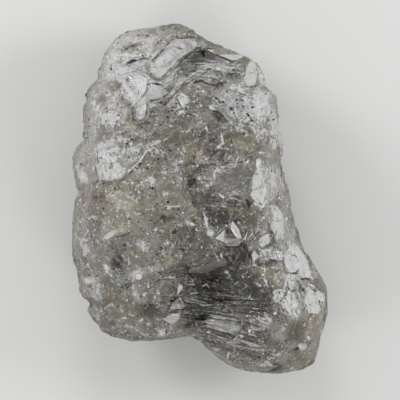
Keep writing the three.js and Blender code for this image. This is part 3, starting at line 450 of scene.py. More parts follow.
            (1.56, 0.98, 0.1, 0.14, 0, 0.4), (0.25, -1.9, 0.8, 0.5, 0, 0.2), (0.95, -3.1, 0.6, 0.3, 0, 0.25),
            (0.1, 1.3, 0.8, 0.6, 0, 0.12), (0.0, 0.98, 0.1, 0.14, 0, 0.4), (-1.0, -1.12, 0.45, 0.1, 0, 0.45),
            (-0.75, -0.15, 0.3, 0.2, 0, 0.3), (-0.15, 0.75, 0.14, 0.45, 20, 0.6),
            (0.85, 1.1, 0.35, 0.18, 0, 0.5), (-0.8, 3.05, 0.18, 0.3, -20, 0.5),
            (0.45, 2.97, 0.2, 0.08, -15, 0.5), (0.88, 2.7, 0.12, 0.16, 0, 0.4),
            (0.85, -0.15, 0.25, 0.22, 0, 0.6), (-0.9, 0.2, 0.45, 0.5, 0, 0.28),
            (-1.5, -2.32, 0.32, 0.16, -20, 0.18), (1.5, -1.5, 0.25, 0.25, 0, 0.2),
            (1.95, -2.62, 0.24, 0.22, 0, 0.25), (-1.6, -0.62, 0.4, 0.16, 0, 0.55),
            (1.9, -3.2, 0.35, 0.2, 0, 0.15), (1.45, 0.92, 0.22, 0.16, 0, 0.4),
            (0.75, -2.05, 0.75, 0.2, -5, 0.25), (-0.6, -0.55, 0.6, 0.5, 0, 0.2),
            (1.38, -0.05, 0.13, 0.45, 0, 0.2), (-0.7, -1.35, 0.55, 0.16, 5, 0.4),
            (-1.65, -1.05, 0.25, 0.25, 0, 0.35),
        ],
        "rust": [
            (-0.78, 3.15, 0.14, 0.26, -15, 0.55), (-0.5, 3.38, 0.15, 0.1, 0, 0.6),
            (0.28, 0.93, 0.18, 0.13, 0, 0.65), (-1.86, -1.84, 0.15, 0.13, 0, 0.75),
            (-1.55, -2.22, 0.2, 0.06, -25, 0.35), (1.71, 0.22, 0.07, 0.1, 0, 0.45),
            (2.17, -2.8, 0.07, 0.06, 0, 0.5), (1.86, -2.87, 0.12, 0.06, 0, 0.45),
            (2.36, -2.08, 0.05, 0.1, 30, 0.5), (-1.72, 1.92, 0.16, 0.14, 0, 0.25),
            (-0.92, 2.56, 0.06, 0.14, 0, 0.2), (-1.62, 2.25, 0.12, 0.16, 0, 0.35),
            (1.22, 2.12, 0.2, 0.09, 0, 0.45), (-2.1, 0.02, 0.26, 0.28, 0, 0.45),
            (1.7, 0.2, 0.09, 0.16, 0, 0.45), (1.75, -0.25, 0.08, 0.3, -15, 0.35),
            (1.7, -1.02, 0.18, 0.06, -25, 0.45), (2.35, -1.62, 0.1, 0.06, -30, 0.5),
            (2.25, -2.42, 0.2, 0.14, 0, 0.5), (1.85, -2.6, 0.16, 0.18, 0, 0.35),
            (-1.0, 0.5, 0.22, 0.18, 0, 0.3), (0.4, -3.08, 0.2, 0.08, -20, 0.35),
            (-0.68, 0.85, 0.2, 0.15, 0, 0.2), (-0.1, 0.8, 0.14, 0.26, 0, 0.25),
            (1.55, 1.0, 0.09, 0.12, 0, 0.3), (-2.15, 0.95, 0.09, 0.13, 0, 0.25),
            (-2.0, -2.35, 0.3, 0.16, -40, 0.25), (2.35, -2.9, 0.1, 0.3, 0, 0.25),
        ],
        "blue": [
            (0.85, 1.85, 0.5, 0.3, -20, 0.9), (-0.82, 2.08, 0.22, 0.18, 0, 0.5),
            (-1.62, -0.95, 0.2, 0.2, 0, 0.2), (1.62, -2.65, 0.1, 0.12, 0, 0.3),
            (-2.15, -0.85, 0.25, 0.35, 0, 0.35), (0.2, 2.55, 0.55, 0.25, 0, 0.3),
            (-0.55, 2.95, 0.3, 0.22, 35, 0.4), (-1.55, -1.58, 0.28, 0.12, 15, 0.35),
            (-0.88, -1.62, 0.3, 0.1, 8, 0.35), (1.63, -2.66, 0.06, 0.15, 0, 0.15),
            (-1.75, 2.55, 0.25, 0.2, 0, 0.25), (0.65, 0.3, 0.45, 0.3, 0, 0.25),
        ],
        # painted light: patches painted pale, as the light behind shows through the clear stone
        "clear": [
            (-2.2, 0.75, 0.22, 0.55, 0, 0.7), (-2.42, 0.8, 0.14, 0.4, 0, 0.5), (-1.95, 2.1, 0.2, 0.7, 0, 0.5),
            (-1.75, 2.95, 0.25, 0.35, -40, 0.5), (-1.2, 3.18, 0.65, 0.28, 12, 0.35),
            (1.2, 2.5, 0.13, 0.35, 20, 0.8), (1.45, 1.95, 0.16, 0.5, 0, 0.5), (1.6, 0.55, 0.14, 0.3, 0, 0.4),
            (1.38, 0.35, 0.16, 0.45, 0, 0.35), (1.72, -0.6, 0.16, 0.45, 10, 0.35),
            (2.15, -1.25, 0.12, 0.45, 25, 0.4), (2.42, -2.1, 0.1, 0.5, 0, 0.3),
            (1.65, 1.3, 0.12, 0.3, 0, 0.3), (-0.35, 3.32, 0.16, 0.12, 0, 0.3),
        ],
        "quiet": [
            (-1.55, 2.0, 0.55, 0.95, 0, 0.5), (-1.5, -0.35, 0.6, 0.45, 0, 0.3),
            (-2.3, -0.6, 0.25, 0.8, 0, 0.5), (-1.7, -2.35, 0.6, 0.35, -20, 0.7),
            (-1.75, -1.85, 0.35, 0.3, 0, 0.7), (-1.1, -1.75, 0.3, 0.2, 0, 0.3),
            (1.9, -2.66, 0.2, 0.25, 0, 0.8), (-0.9, -2.35, 0.3, 0.2, 0, 0.4), (0.28, 0.92, 0.18, 0.1, 0, 0.8),
            (-0.02, 0.96, 0.12, 0.18, 0, 0.6), (0.5, 0.35, 0.3, 0.2, 0, 0.3),
            (0.55, -1.74, 0.5, 0.14, -4, 0.7), (0.3, 2.95, 0.4, 0.06, -10, 0.5),
            (0.0, 2.82, 0.3, 0.1, 0, 0.4), (1.5, -1.45, 0.25, 0.25, 0, 0.7), (0.9, -0.15, 0.25, 0.2, 0, 0.8),
            (0.85, 1.1, 0.3, 0.18, 0, 0.6), (1.8, -3.05, 0.45, 0.35, 0, 0.5),
            (-0.95, -1.2, 0.5, 0.12, 0, 0.4), (-2.15, 0.7, 0.3, 0.6, 0, 0.6), (1.5, 0.3, 0.3, 0.7, 0, 0.2),
            (-1.3, 3.1, 0.6, 0.3, 0, 0.1),
        ],
        "speckled": [
            (0.85, 1.85, 0.5, 0.36, -20, 1.0), (-0.35, 1.72, 0.35, 0.14, 0, 0.8),
            (-1.45, 0.85, 0.45, 0.3, 0, 0.5), (-0.95, -2.12, 0.22, 0.1, 0, 0.8),
            (-1.42, -1.68, 0.14, 0.1, 0, 0.8), (0.9, -3.1, 0.5, 0.3, 0, 0.5), (2.0, -1.95, 0.45, 0.4, 0, 0.5),
            (-0.3, -0.3, 0.5, 0.3, 0, 0.4), (0.4, 2.3, 0.5, 0.12, 0, 0.6),
        ],
        "streaky": [
            (0.4, -2.18, 1.1, 0.34, -6, 1.0), (0.45, -1.68, 0.75, 0.22, -5, 0.4),
            (0.45, -2.6, 0.8, 0.25, -12, 0.9), (0.65, -2.9, 0.9, 0.2, -6, 1.0),
            (0.1, 2.52, 0.8, 0.28, 0, 0.8), (-0.5, 2.2, 0.45, 0.16, 38, 0.6),
            (0.45, -0.12, 0.45, 0.35, -5, 0.35), (0.6, 0.6, 0.55, 0.16, -4, 0.6),
            (1.95, -1.25, 0.3, 0.4, 20, 0.3),
        ],
    },
    # fine lines, each a run of points with its half width and strength: dark cracks, then painted glints,
    # highlights drawn along edges
    "cracks": [
        ([(-1.48, 2.66), (-1.34, 2.74), (-1.26, 2.745)], 0.026, 1.0),
        ([(-1.26, 2.745), (-1.12, 2.79), (-1.0, 2.78)], 0.015, 0.8),
        ([(-0.98, 2.71), (-0.86, 2.83), (-0.7, 2.98)], 0.012, 0.8),
        ([(-0.66, 3.05), (-0.56, 3.16), (-0.48, 3.21)], 0.012, 0.7),
        ([(-0.48, 3.21), (-0.36, 3.2), (-0.2, 3.22), (-0.1, 3.22)], 0.013, 0.8),
        ([(-0.1, 3.2), (-0.07, 3.12)], 0.012, 0.5),
        ([(-0.99, 2.5), (-0.96, 2.42), (-0.86, 2.36), (-0.75, 2.38), (-0.62, 2.52), (-0.55, 2.6)], 0.02, 0.7),
        ([(-0.7, 2.36), (-0.58, 2.48), (-0.5, 2.56)], 0.008, 0.6), ([(-0.5, 2.58), (-0.46, 2.62)], 0.02, 0.9),
        ([(-0.44, 2.72), (-0.3, 2.8), (-0.16, 2.92), (-0.04, 2.99), (0.1, 3.01), (0.3, 3.0)], 0.013, 0.8),
        ([(-0.48, 3.0), (-0.42, 3.0), (-0.34, 2.98)], 0.012, 0.8),
        ([(-0.98, 2.62), (-0.86, 2.6)], 0.008, 0.6), ([(-0.95, 2.71), (-0.91, 2.7)], 0.012, 0.8),
        ([(-0.58, 2.87), (-0.46, 2.79)], 0.006, 0.5),
        ([(-1.3, 2.6), (-1.12, 2.53), (-1.0, 2.45), (-0.92, 2.38)], 0.014, 0.6),
        ([(-1.59, 2.44), (-1.44, 2.51), (-1.3, 2.53), (-1.16, 2.49), (-1.07, 2.39)], 0.009, 0.55),
        ([(-1.055, 2.3), (-1.06, 2.2), (-1.07, 2.1), (-1.16, 1.99)], 0.012, 0.7),
        ([(-1.18, 1.97), (-1.25, 1.9), (-1.31, 1.8), (-1.33, 1.68)], 0.01, 0.5),
        ([(1.545, 0.14), (1.55, 0.05)], 0.014, 1.0), ([(1.5, 0.02), (1.55, 0.05), (1.58, 0.075)], 0.012, 1.0),
        ([(1.38, -0.48), (1.36, -0.58), (1.39, -0.68)], 0.014, 0.9),
        ([(1.41, 1.24), (1.5, 1.18)], 0.014, 0.9), ([(2.35, -2.03), (2.39, -2.13)], 0.018, 0.8),
        ([(-0.9, -1.645), (-0.7, -1.6), (-0.48, -1.585)], 0.009, 0.7),
        ([(-1.2, 1.53), (-1.12, 1.54), (-1.07, 1.6)], 0.01, 0.5), ([(-1.06, 2.12), (-1.1, 2.05)], 0.02, 0.8),
        ([(-1.05, 2.22), (-1.02, 2.15)], 0.014, 0.8),
        ([(-1.05, 2.28), (-0.92, 2.285), (-0.78, 2.255)], 0.018, 0.95),
        ([(-1.0, 1.93), (-0.87, 1.96), (-0.76, 2.0)], 0.011, 0.8),
        ([(-0.84, 1.89), (-0.78, 1.905), (-0.71, 1.92)], 0.02, 1.0),
        ([(-1.04, 1.92), (-1.05, 1.76), (-1.06, 1.62)], 0.012, 0.6),
        ([(-0.74, 1.8), (-0.66, 1.9), (-0.55, 2.02), (-0.42, 2.16), (-0.32, 2.26),
          (-0.22, 2.32)], 0.014, 0.95),
        ([(-0.76, 2.0), (-0.68, 2.06), (-0.64, 2.08)], 0.016, 0.8),
        ([(-0.62, 2.13), (-0.55, 2.22)], 0.024, 0.6), ([(-0.7, 2.16), (-0.76, 2.17)], 0.01, 0.6),
        ([(-0.28, 2.42), (-0.16, 2.52), (-0.06, 2.58)], 0.008, 0.7),
        ([(-0.32, 2.52), (-0.24, 2.46), (-0.18, 2.5)], 0.008, 0.7),
        ([(-0.26, 2.24), (-0.18, 2.33), (-0.08, 2.4)], 0.008, 0.6),
        ([(-0.13, 2.285), (-0.05, 2.335), (0.03, 2.345), (0.09, 2.32)], 0.03, 1.1),
        ([(0.08, 2.31), (0.18, 2.28), (0.3, 2.26)], 0.014, 1.4),
        ([(0.33, 2.27), (0.38, 2.32), (0.43, 2.3), (0.46, 2.25)], 0.014, 1.5),
        ([(0.32, 2.25), (0.36, 2.22)], 0.022, 1.4),
        ([(0.18, 2.91), (0.3, 2.86), (0.45, 2.8), (0.58, 2.745), (0.66, 2.72)], 0.008, 0.8),
        ([(0.62, 2.72), (0.68, 2.73)], 0.014, 0.9), ([(0.4, 2.72), (0.44, 2.73)], 0.012, 0.7),
        ([(0.12, 2.58), (0.22, 2.585)], 0.011, 1.0), ([(0.28, 2.53), (0.38, 2.53), (0.46, 2.5)], 0.01, 0.8),
        ([(0.62, 2.56), (0.72, 2.56)], 0.01, 0.9), ([(0.54, 2.45), (0.6, 2.47), (0.66, 2.44)], 0.02, 1.4),
        ([(0.62, 2.5), (0.74, 2.48), (0.82, 2.44)], 0.01, 0.7),
        ([(0.02, 2.44), (0.1, 2.51), (0.16, 2.52)], 0.012, 0.8), ([(0.18, 2.66), (0.34, 2.64)], 0.009, 0.6),
        ([(-0.12, 2.68), (-0.02, 2.65), (0.1, 2.67)], 0.012, 0.8),
        ([(-0.26, 2.74), (-0.1, 2.72), (0.06, 2.74), (0.2, 2.71)], 0.01, 0.7),
        ([(0.56, 2.36), (0.62, 2.33)], 0.01, 0.8), ([(0.2, 2.4), (0.32, 2.38), (0.44, 2.4)], 0.01, 0.7),
        ([(-0.2, 2.6), (-0.04, 2.56)], 0.009, 0.6), ([(0.12, 3.14), (0.2, 3.15), (0.28, 3.09)], 0.014, 0.8),
        ([(0.0, 3.06), (0.12, 3.09), (0.26, 3.05)], 0.009, 0.6),
        ([(-0.3, 3.26), (-0.18, 3.36), (-0.05, 3.28)], 0.012, 0.7),
        ([(-0.12, 3.42), (0.02, 3.3), (0.08, 3.2)], 0.012, 0.7),
        ([(0.96, 2.66), (0.9, 2.52), (0.87, 2.38)], 0.006, 0.35), ([(0.95, 2.49), (1.1, 2.5)], 0.006, 0.5),
        ([(0.9, 2.23), (1.0, 2.21), (1.06, 2.23)], 0.009, 0.5),
        ([(0.24, 1.73), (0.36, 1.7), (0.45, 1.63), (0.52, 1.54)], 0.02, 1.0),
        ([(0.42, 1.68), (0.48, 1.62)], 0.02, 1.0),
        ([(1.22, 1.63), (1.31, 1.63), (1.37, 1.57), (1.33, 1.51), (1.26, 1.49)], 0.009, 0.8),
        ([(1.32, 1.56), (1.36, 1.59)], 0.014, 1.0), ([(0.3, 1.99), (0.38, 1.94), (0.42, 1.88)], 0.02, 1.0),
        ([(0.44, 1.92), (0.5, 1.9)], 0.012, 0.9), ([(0.58, 1.81), (0.62, 1.77), (0.68, 1.81)], 0.014, 1.0),
        ([(0.66, 1.78), (0.67, 1.68), (0.72, 1.58), (0.76, 1.44)], 0.01, 0.8),
        ([(0.64, 2.15), (0.76, 2.11), (0.84, 2.06), (0.92, 2.05)], 0.012, 0.8),
        ([(0.78, 2.02), (0.86, 1.95)], 0.012, 0.8), ([(0.85, 1.86), (0.87, 1.78)], 0.016, 0.8),
        ([(0.38, 2.1), (0.44, 2.13)], 0.014, 0.8), ([(0.5, 2.14), (0.56, 2.1)], 0.01, 0.7),
        ([(0.92, 1.46), (0.98, 1.46)], 0.014, 0.8), ([(0.86, 1.4), (0.9, 1.36)], 0.018, 0.8),
        ([(1.0, 1.99), (1.06, 1.98)], 0.012, 0.7), ([(0.54, 1.56), (0.56, 1.5)], 0.012, 0.9),
        ([(0.2, 1.96), (0.17, 1.88)], 0.012, 0.8), ([(0.26, 1.93), (0.32, 1.9), (0.34, 1.86)], 0.01, 0.8),
        ([(-0.48, 2.01), (-0.42, 1.9), (-0.36, 1.79)], 0.01, 0.9),
        ([(-0.56, 1.74), (-0.5, 1.73)], 0.014, 0.9), ([(-0.66, 1.72), (-0.6, 1.7)], 0.014, 0.8),
        ([(-0.54, 1.88), (-0.58, 1.84)], 0.014, 0.7), ([(-0.12, 1.56), (-0.1, 1.46)], 0.012, 0.7),
        ([(-0.46, 1.66), (-0.52, 1.7)], 0.012, 0.8),
        ([(-2.06, 0.97), (-2.05, 0.75), (-2.06, 0.45)], 0.014, 0.75),
        ([(-1.76, 0.72), (-1.74, 0.6)], 0.028, 0.6),
        ([(-2.35, 0.22), (-2.15, 0.3), (-2.0, 0.33), (-1.88, 0.3), (-1.75, 0.27)], 0.012, 0.4),
        ([(-1.78, -0.8), (-1.62, -0.75), (-1.5, -0.74), (-1.36, -0.66)], 0.016, 0.7),
        ([(1.0, 0.5), (1.15, 0.47)], 0.013, 0.6), ([(1.02, 0.17), (1.12, 0.18), (1.22, 0.24)], 0.012, 0.6),
        ([(1.42, -0.42), (1.52, -0.45), (1.62, -0.43)], 0.01, 0.5),
        ([(1.33, -0.42), (1.37, -0.6), (1.47, -0.75)], 0.022, 0.7),
        ([(1.36, -0.95), (1.48, -0.78), (1.52, -0.62)], 0.016, 0.6),
        ([(1.5, -0.95), (1.6, -1.02), (1.68, -1.05)], 0.012, 0.6),
        ([(1.79, -1.1), (1.84, -1.13), (1.88, -1.12), (1.94, -1.19)], 0.01, 0.9),
        ([(1.9, -0.76), (1.96, -0.92), (2.1, -1.1), (2.24, -1.3)], 0.014, 0.55),
        ([(1.74, -1.47), (1.82, -1.49), (1.91, -1.48), (1.96, -1.4)], 0.014, 0.85),
        ([(1.5, -1.26), (1.6, -1.22), (1.75, -1.4), (1.78, -1.6)], 0.01, 0.5),
        ([(1.58, -2.04), (1.7, -1.9), (1.74, -1.78), (1.7, -1.62)], 0.014, 0.85),
        ([(2.0, -1.6), (2.1, -1.58), (2.22, -1.62)], 0.014, 0.7),
        ([(1.92, -1.62), (2.0, -1.72), (1.97, -1.86), (2.04, -1.95)], 0.016, 0.75),
        ([(2.15, -1.72), (2.28, -1.86), (2.4, -1.8)], 0.014, 0.75),
        ([(1.8, -2.2), (1.88, -2.34)], 0.012, 0.8), ([(1.88, -2.18), (1.95, -2.32)], 0.012, 0.8),
        ([(2.35, -2.04), (2.42, -2.2)], 0.016, 0.6),
        ([(2.05, -2.02), (2.12, -2.14), (2.06, -2.26)], 0.012, 0.6),
        ([(1.62, -1.8), (1.52, -1.96)], 0.01, 0.5), ([(0.3, -1.6), (0.45, -1.63), (0.56, -1.65)], 0.016, 1.5),
        ([(0.5, -1.645), (0.56, -1.65)], 0.022, 1.5), ([(0.38, -2.0), (0.46, -2.01)], 0.02, 1.4),
        ([(0.52, -1.97), (0.62, -1.985)], 0.024, 1.5),
        ([(0.6, -2.0), (0.8, -2.01), (1.08, -2.02)], 0.011, 1.5),
        ([(0.8, -2.06), (0.92, -2.055)], 0.016, 1.4),
        ([(1.04, -2.15), (1.18, -2.14), (1.38, -2.12)], 0.013, 1.5),
        ([(-0.3, -2.09), (-0.1, -2.12), (0.02, -2.14), (0.26, -2.17)], 0.015, 0.9),
        ([(-0.08, -2.14), (0.0, -2.13)], 0.026, 1.0),
        ([(-0.36, -2.2), (-0.1, -2.19), (0.26, -2.23)], 0.012, 0.8),
        ([(-0.2, -2.26), (0.1, -2.27), (0.4, -2.31), (0.66, -2.36)], 0.008, 0.8),
        ([(-0.28, -2.32), (-0.1, -2.34)], 0.022, 0.9),
        ([(-0.06, -2.38), (0.04, -2.33), (0.16, -2.32)], 0.024, 1.4),
        ([(0.0, -2.39), (0.16, -2.37)], 0.016, 1.2),
        ([(-0.28, -2.52), (-0.16, -2.51), (-0.1, -2.46)], 0.03, 1.4),
        ([(-0.1, -2.44), (0.1, -2.43), (0.3, -2.45)], 0.008, 0.6),
        ([(0.02, -2.58), (0.2, -2.63), (0.4, -2.7), (0.55, -2.73), (0.7, -2.76)], 0.028, 0.8),
        ([(0.36, -2.72), (0.42, -2.72)], 0.022, 1.0), ([(0.52, -2.7), (0.57, -2.72)], 0.02, 1.0),
        ([(0.62, -2.76), (0.68, -2.77)], 0.016, 1.0),
        ([(0.13, -1.49), (0.3, -1.42), (0.49, -1.35)], 0.012, 1.0),
        ([(-0.24, -1.5), (-0.05, -1.5), (0.12, -1.5)], 0.012, 0.9),
        ([(-0.05, -1.58), (0.15, -1.6), (0.28, -1.58)], 0.01, 0.8),
        ([(-0.24, -1.58), (-0.2, -1.52), (-0.24, -1.46)], 0.014, 0.7),
        ([(-0.46, -1.56), (-0.36, -1.55)], 0.022, 0.8), ([(-0.18, -1.84), (-0.1, -1.86)], 0.01, 0.8),
        ([(0.1, -1.62), (0.24, -1.66), (0.44, -1.7)], 0.01, 0.7),
        ([(-0.3, -2.0), (-0.1, -2.04), (0.12, -2.08)], 0.008, 0.9),
        ([(-0.28, -1.94), (-0.05, -1.99), (0.2, -2.03)], 0.007, 0.8),
        ([(0.44, -2.46), (0.58, -2.48), (0.74, -2.52)], 0.007, 0.7),
        ([(0.48, -2.4), (0.62, -2.42)], 0.009, 0.7), ([(0.76, -2.36), (0.98, -2.38)], 0.014, 0.8),
        ([(0.6, -2.16), (0.8, -2.19), (0.98, -2.18)], 0.009, 0.7),
        ([(0.3, -2.08), (0.5, -2.1), (0.66, -2.09)], 0.008, 0.6),
        ([(0.0, -2.7), (0.12, -2.73), (0.3, -2.76)], 0.008, 0.7),
        ([(0.02, -2.82), (0.24, -2.88), (0.44, -2.92)], 0.009, 0.7),
        ([(1.0, -2.95), (1.15, -2.95)], 0.008, 0.7), ([(0.3, -2.84), (0.6, -2.88), (0.9, -2.9)], 0.006, 0.6),
        ([(0.1, -2.95), (0.26, -3.02)], 0.009, 0.7), ([(0.86, -1.72), (0.94, -1.8)], 0.008, 0.6),
        ([(1.0, -1.3), (1.02, -1.2), (1.0, -1.1)], 0.014, 0.9), ([(1.04, -1.68), (1.05, -1.56)], 0.012, 0.7),
        ([(-0.22, -2.36), (-0.14, -2.28)], 0.006, 0.9),
        ([(-0.6, -2.27), (-0.5, -2.235), (-0.39, -2.19)], 0.018, 1.0),
        ([(-0.33, -2.0), (-0.31, -2.1)], 0.014, 1.0), ([(-0.42, -1.99), (-0.4, -2.07)], 0.012, 0.8),
        ([(-0.36, -1.98), (-0.37, -2.04)], 0.008, 0.7),
        ([(0.0, -2.9), (0.35, -2.95), (0.7, -2.99)], 0.014, 0.55),
        ([(0.75, -2.92), (1.1, -2.96), (1.45, -2.95)], 0.012, 0.5),
        ([(0.55, -1.38), (0.62, -1.3), (0.7, -1.02)], 0.02, 0.7),
        ([(0.82, -0.86), (0.9, -0.99), (0.98, -1.16)], 0.026, 0.85),
        ([(0.48, -0.95), (0.56, -0.965), (0.7, -0.965), (0.8, -0.92), (0.86, -0.85)], 0.015, 1.0),
        ([(0.31, -0.755), (0.505, -0.575)], 0.01, 0.9),
        ([(0.66, -0.42), (0.78, -0.58), (0.85, -0.76)], 0.009, 0.8),
        ([(0.495, -0.58), (0.483, -0.84)], 0.007, 0.6), ([(0.585, -0.6), (0.735, -0.81)], 0.007, 0.6),
        ([(0.96, -0.8), (1.08, -0.66)], 0.01, 0.9), ([(0.98, -0.86), (1.17, -0.63)], 0.01, 0.9),
        ([(1.05, -0.86), (1.2, -0.7)], 0.009, 0.6), ([(0.85, -0.79), (0.93, -0.62)], 0.009, 0.9),
        ([(-0.66, -2.27), (-0.62, -2.16), (-0.5, -2.01), (-0.44, -1.95)], 0.009, 0.8),
        ([(-0.75, -2.43), (-0.64, -2.47), (-0.58, -2.53)], 0.01, 0.7),
        ([(-0.38, -2.26), (-0.39, -2.37), (-0.5, -2.47)], 0.011, 0.8),
        ([(-0.33, -1.8), (-0.36, -1.9)], 0.012, 0.7),
        ([(-1.5, -2.79), (-1.1, -2.8), (-0.6, -2.76)], 0.014, 0.45),
        ([(-0.3, -2.76), (0.0, -2.8), (0.3, -2.84)], 0.014, 0.5), ([(1.56, -0.05), (1.56, 0.12)], 0.014, 0.6),
        ([(1.36, -0.08), (1.46, -0.12), (1.56, -0.1)], 0.022, 0.4),
        ([(-0.28, -0.48), (-0.1, -0.56)], 0.01, 0.3),
        ([(-0.72, -0.33), (-0.6, -0.4), (-0.5, -0.38)], 0.03, 0.6),
        ([(0.12, -0.18), (0.15, -0.22), (0.19, -0.23), (0.19, -0.29)], 0.02, 1.5),
        ([(-0.545, -0.68), (-0.46, -0.65)], 0.022, 1.5),
        ([(0.92, -0.07), (0.96, -0.1), (0.96, -0.16)], 0.034, 1.5),
        ([(0.15, -0.46), (0.26, -0.5)], 0.018, 0.6), ([(0.7, -0.42), (0.76, -0.26)], 0.014, 0.6),
    ],
    # painted highlights: bright lines where edges catch the light
    "glints": [
        ([(-1.43, 0.5), (-1.33, 0.62), (-1.2, 0.72), (-1.06, 0.92), (-0.99, 0.97)], 0.012, 1.0),
        ([(-1.4, 2.82), (-1.2, 2.855)], 0.012, 0.7), ([(-1.19, 2.86), (-1.17, 2.86)], 0.018, 1.0),
        ([(-1.08, 2.82), (-1.03, 2.83)], 0.014, 1.0), ([(0.32, 2.57), (0.42, 2.575)], 0.016, 1.0),
        ([(0.56, 2.6), (0.6, 2.6)], 0.01, 0.8), ([(0.64, 2.62), (0.68, 2.62)], 0.009, 0.8),
        ([(0.72, 2.65), (0.76, 2.66)], 0.009, 0.8), ([(-0.1, 2.54), (0.04, 2.53), (0.12, 2.5)], 0.012, 0.6),
        ([(0.16, 2.62), (0.34, 2.61), (0.5, 2.58)], 0.01, 0.5), ([(-0.26, 2.22), (-0.12, 2.32)], 0.012, 0.9),
        ([(-0.26, 2.42), (-0.16, 2.51)], 0.006, 0.7), ([(-0.22, 2.38), (-0.1, 2.5)], 0.005, 0.6),
        ([(0.55, 2.34), (0.62, 2.29)], 0.011, 0.9), ([(-0.4, 1.9), (-0.36, 1.86)], 0.012, 0.9),
        ([(0.18, 1.82), (0.24, 1.76), (0.3, 1.755)], 0.02, 0.8), ([(0.42, 1.72), (0.5, 1.62)], 0.009, 0.5),
        ([(0.2, 1.84), (0.3, 1.82)], 0.014, 0.6), ([(0.25, 1.98), (0.3, 1.95)], 0.012, 0.8),
        ([(-0.4, 1.71), (-0.38, 1.71)], 0.02, 1.0), ([(-0.56, 1.42), (-0.52, 1.44)], 0.014, 0.7),
        ([(0.05, 2.12), (0.09, 2.1)], 0.012, 0.8), ([(0.12, 1.42), (0.16, 1.34)], 0.011, 0.8),
        ([(-0.06, 2.11), (-0.03, 2.12)], 0.011, 0.7), ([(-0.3, 2.8), (-0.4, 2.74)], 0.008, 0.6),
        ([(0.16, 2.73), (0.26, 2.72)], 0.009, 0.6), ([(1.2, 2.42), (1.22, 2.42)], 0.016, 0.8),
        ([(1.3, 2.05), (1.36, 2.1)], 0.01, 0.6), ([(1.05, 2.1), (1.08, 2.12)], 0.01, 0.7),
        ([(0.5, 2.05), (0.56, 2.02)], 0.008, 0.6), ([(1.15, 1.98), (1.12, 1.8), (1.2, 1.65)], 0.018, 0.6),
        ([(1.3, 2.0), (1.28, 1.8)], 0.014, 0.6), ([(1.12, 1.2), (1.24, 1.35), (1.22, 1.5)], 0.02, 0.7),
        ([(1.3, 1.22), (1.24, 1.4)], 0.016, 0.6), ([(0.42, 1.27), (0.44, 1.15)], 0.012, 0.8),
        ([(0.12, 1.36), (0.15, 1.33)], 0.014, 0.8), ([(0.36, 1.03), (0.44, 0.98)], 0.01, 0.9),
        ([(0.36, 0.1), (0.42, 0.04), (0.48, 0.02)], 0.014, 1.0),
        ([(0.55, 0.0), (0.7, -0.01), (0.8, -0.05)], 0.014, 0.5),
        ([(0.07, -0.28), (0.11, -0.38), (0.13, -0.52)], 0.022, 0.9),
        ([(0.14, -0.54), (0.17, -0.62)], 0.018, 0.6), ([(0.42, -0.14), (0.52, -0.17)], 0.014, 0.7),
        ([(-0.7, -0.15), (-0.52, -0.16), (-0.34, -0.14)], 0.013, 0.8),
        ([(-0.68, -0.2), (-0.56, -0.19)], 0.011, 0.7), ([(-0.4, 0.92), (-0.32, 0.84)], 0.012, 0.6),
        ([(0.62, -0.58), (0.68, -0.68), (0.75, -0.78)], 0.01, 0.9),
        ([(0.32, -0.73), (0.52, -0.545)], 0.008, 0.9), ([(0.97, -0.76), (1.04, -0.67)], 0.01, 0.9),
        ([(0.99, -0.8), (1.13, -0.64)], 0.009, 0.9), ([(0.82, -0.84), (0.85, -0.88)], 0.014, 1.0),
        ([(0.3, -1.1), (0.38, -1.24)], 0.01, 0.7), ([(0.58, -1.5), (0.52, -1.4)], 0.01, 0.6),
        ([(0.04, -1.77), (0.13, -1.7), (0.18, -1.78)], 0.01, 0.9),
        ([(-0.6, -1.55), (-0.48, -1.58)], 0.011, 0.8), ([(-0.32, -1.61), (-0.24, -1.57)], 0.012, 0.8),
        ([(-0.17, -1.58), (-0.12, -1.66)], 0.009, 0.8), ([(-0.24, -1.7), (-0.12, -1.71)], 0.01, 0.8),
        ([(-0.2, -1.9), (-0.14, -1.88), (-0.04, -1.865)], 0.012, 0.8),
        ([(0.4, -1.91), (0.56, -1.93), (0.72, -1.955)], 0.005, 0.6),
        ([(0.8, -1.975), (0.94, -1.985), (1.1, -2.0)], 0.004, 0.6),
        ([(-0.3, -1.97), (-0.1, -2.01), (0.1, -2.055)], 0.009, 0.5),
        ([(-0.3, -2.03), (-0.12, -2.06), (0.04, -2.09)], 0.007, 0.5),
        ([(0.04, -2.11), (0.12, -2.13), (0.22, -2.1)], 0.009, 0.9),
        ([(0.0, -2.09), (0.03, -2.11)], 0.012, 0.9), ([(0.02, -2.3), (0.08, -2.32)], 0.008, 0.9),
        ([(-0.24, -2.34), (-0.14, -2.27)], 0.007, 0.7), ([(-0.16, -2.38), (-0.06, -2.29)], 0.007, 0.7),
        ([(-0.3, -2.3), (-0.24, -2.26)], 0.008, 0.6),
        ([(0.12, -2.29), (0.36, -2.33), (0.66, -2.39)], 0.008, 0.6),
        ([(0.24, -2.35), (0.4, -2.38), (0.54, -2.42)], 0.01, 0.5),
        ([(0.96, -2.25), (1.06, -2.23)], 0.01, 0.6), ([(0.2, -2.46), (0.4, -2.5), (0.76, -2.57)], 0.006, 0.4),
        ([(0.3, -2.6), (0.54, -2.65), (0.72, -2.68)], 0.007, 0.4),
        ([(0.16, -2.67), (0.18, -2.67)], 0.02, 1.0), ([(0.81, -2.74), (0.83, -2.745)], 0.024, 1.0),
        ([(0.67, -2.81), (0.74, -2.74)], 0.014, 0.8), ([(1.0, -2.92), (1.15, -2.915)], 0.009, 0.7),
        ([(0.5, -2.84), (0.8, -2.88)], 0.007, 0.5), ([(0.2, -2.8), (0.4, -2.85)], 0.007, 0.4),
        ([(0.57, -3.05), (0.55, -3.2)], 0.014, 0.9), ([(1.47, -2.28), (1.5, -2.28)], 0.024, 1.0),
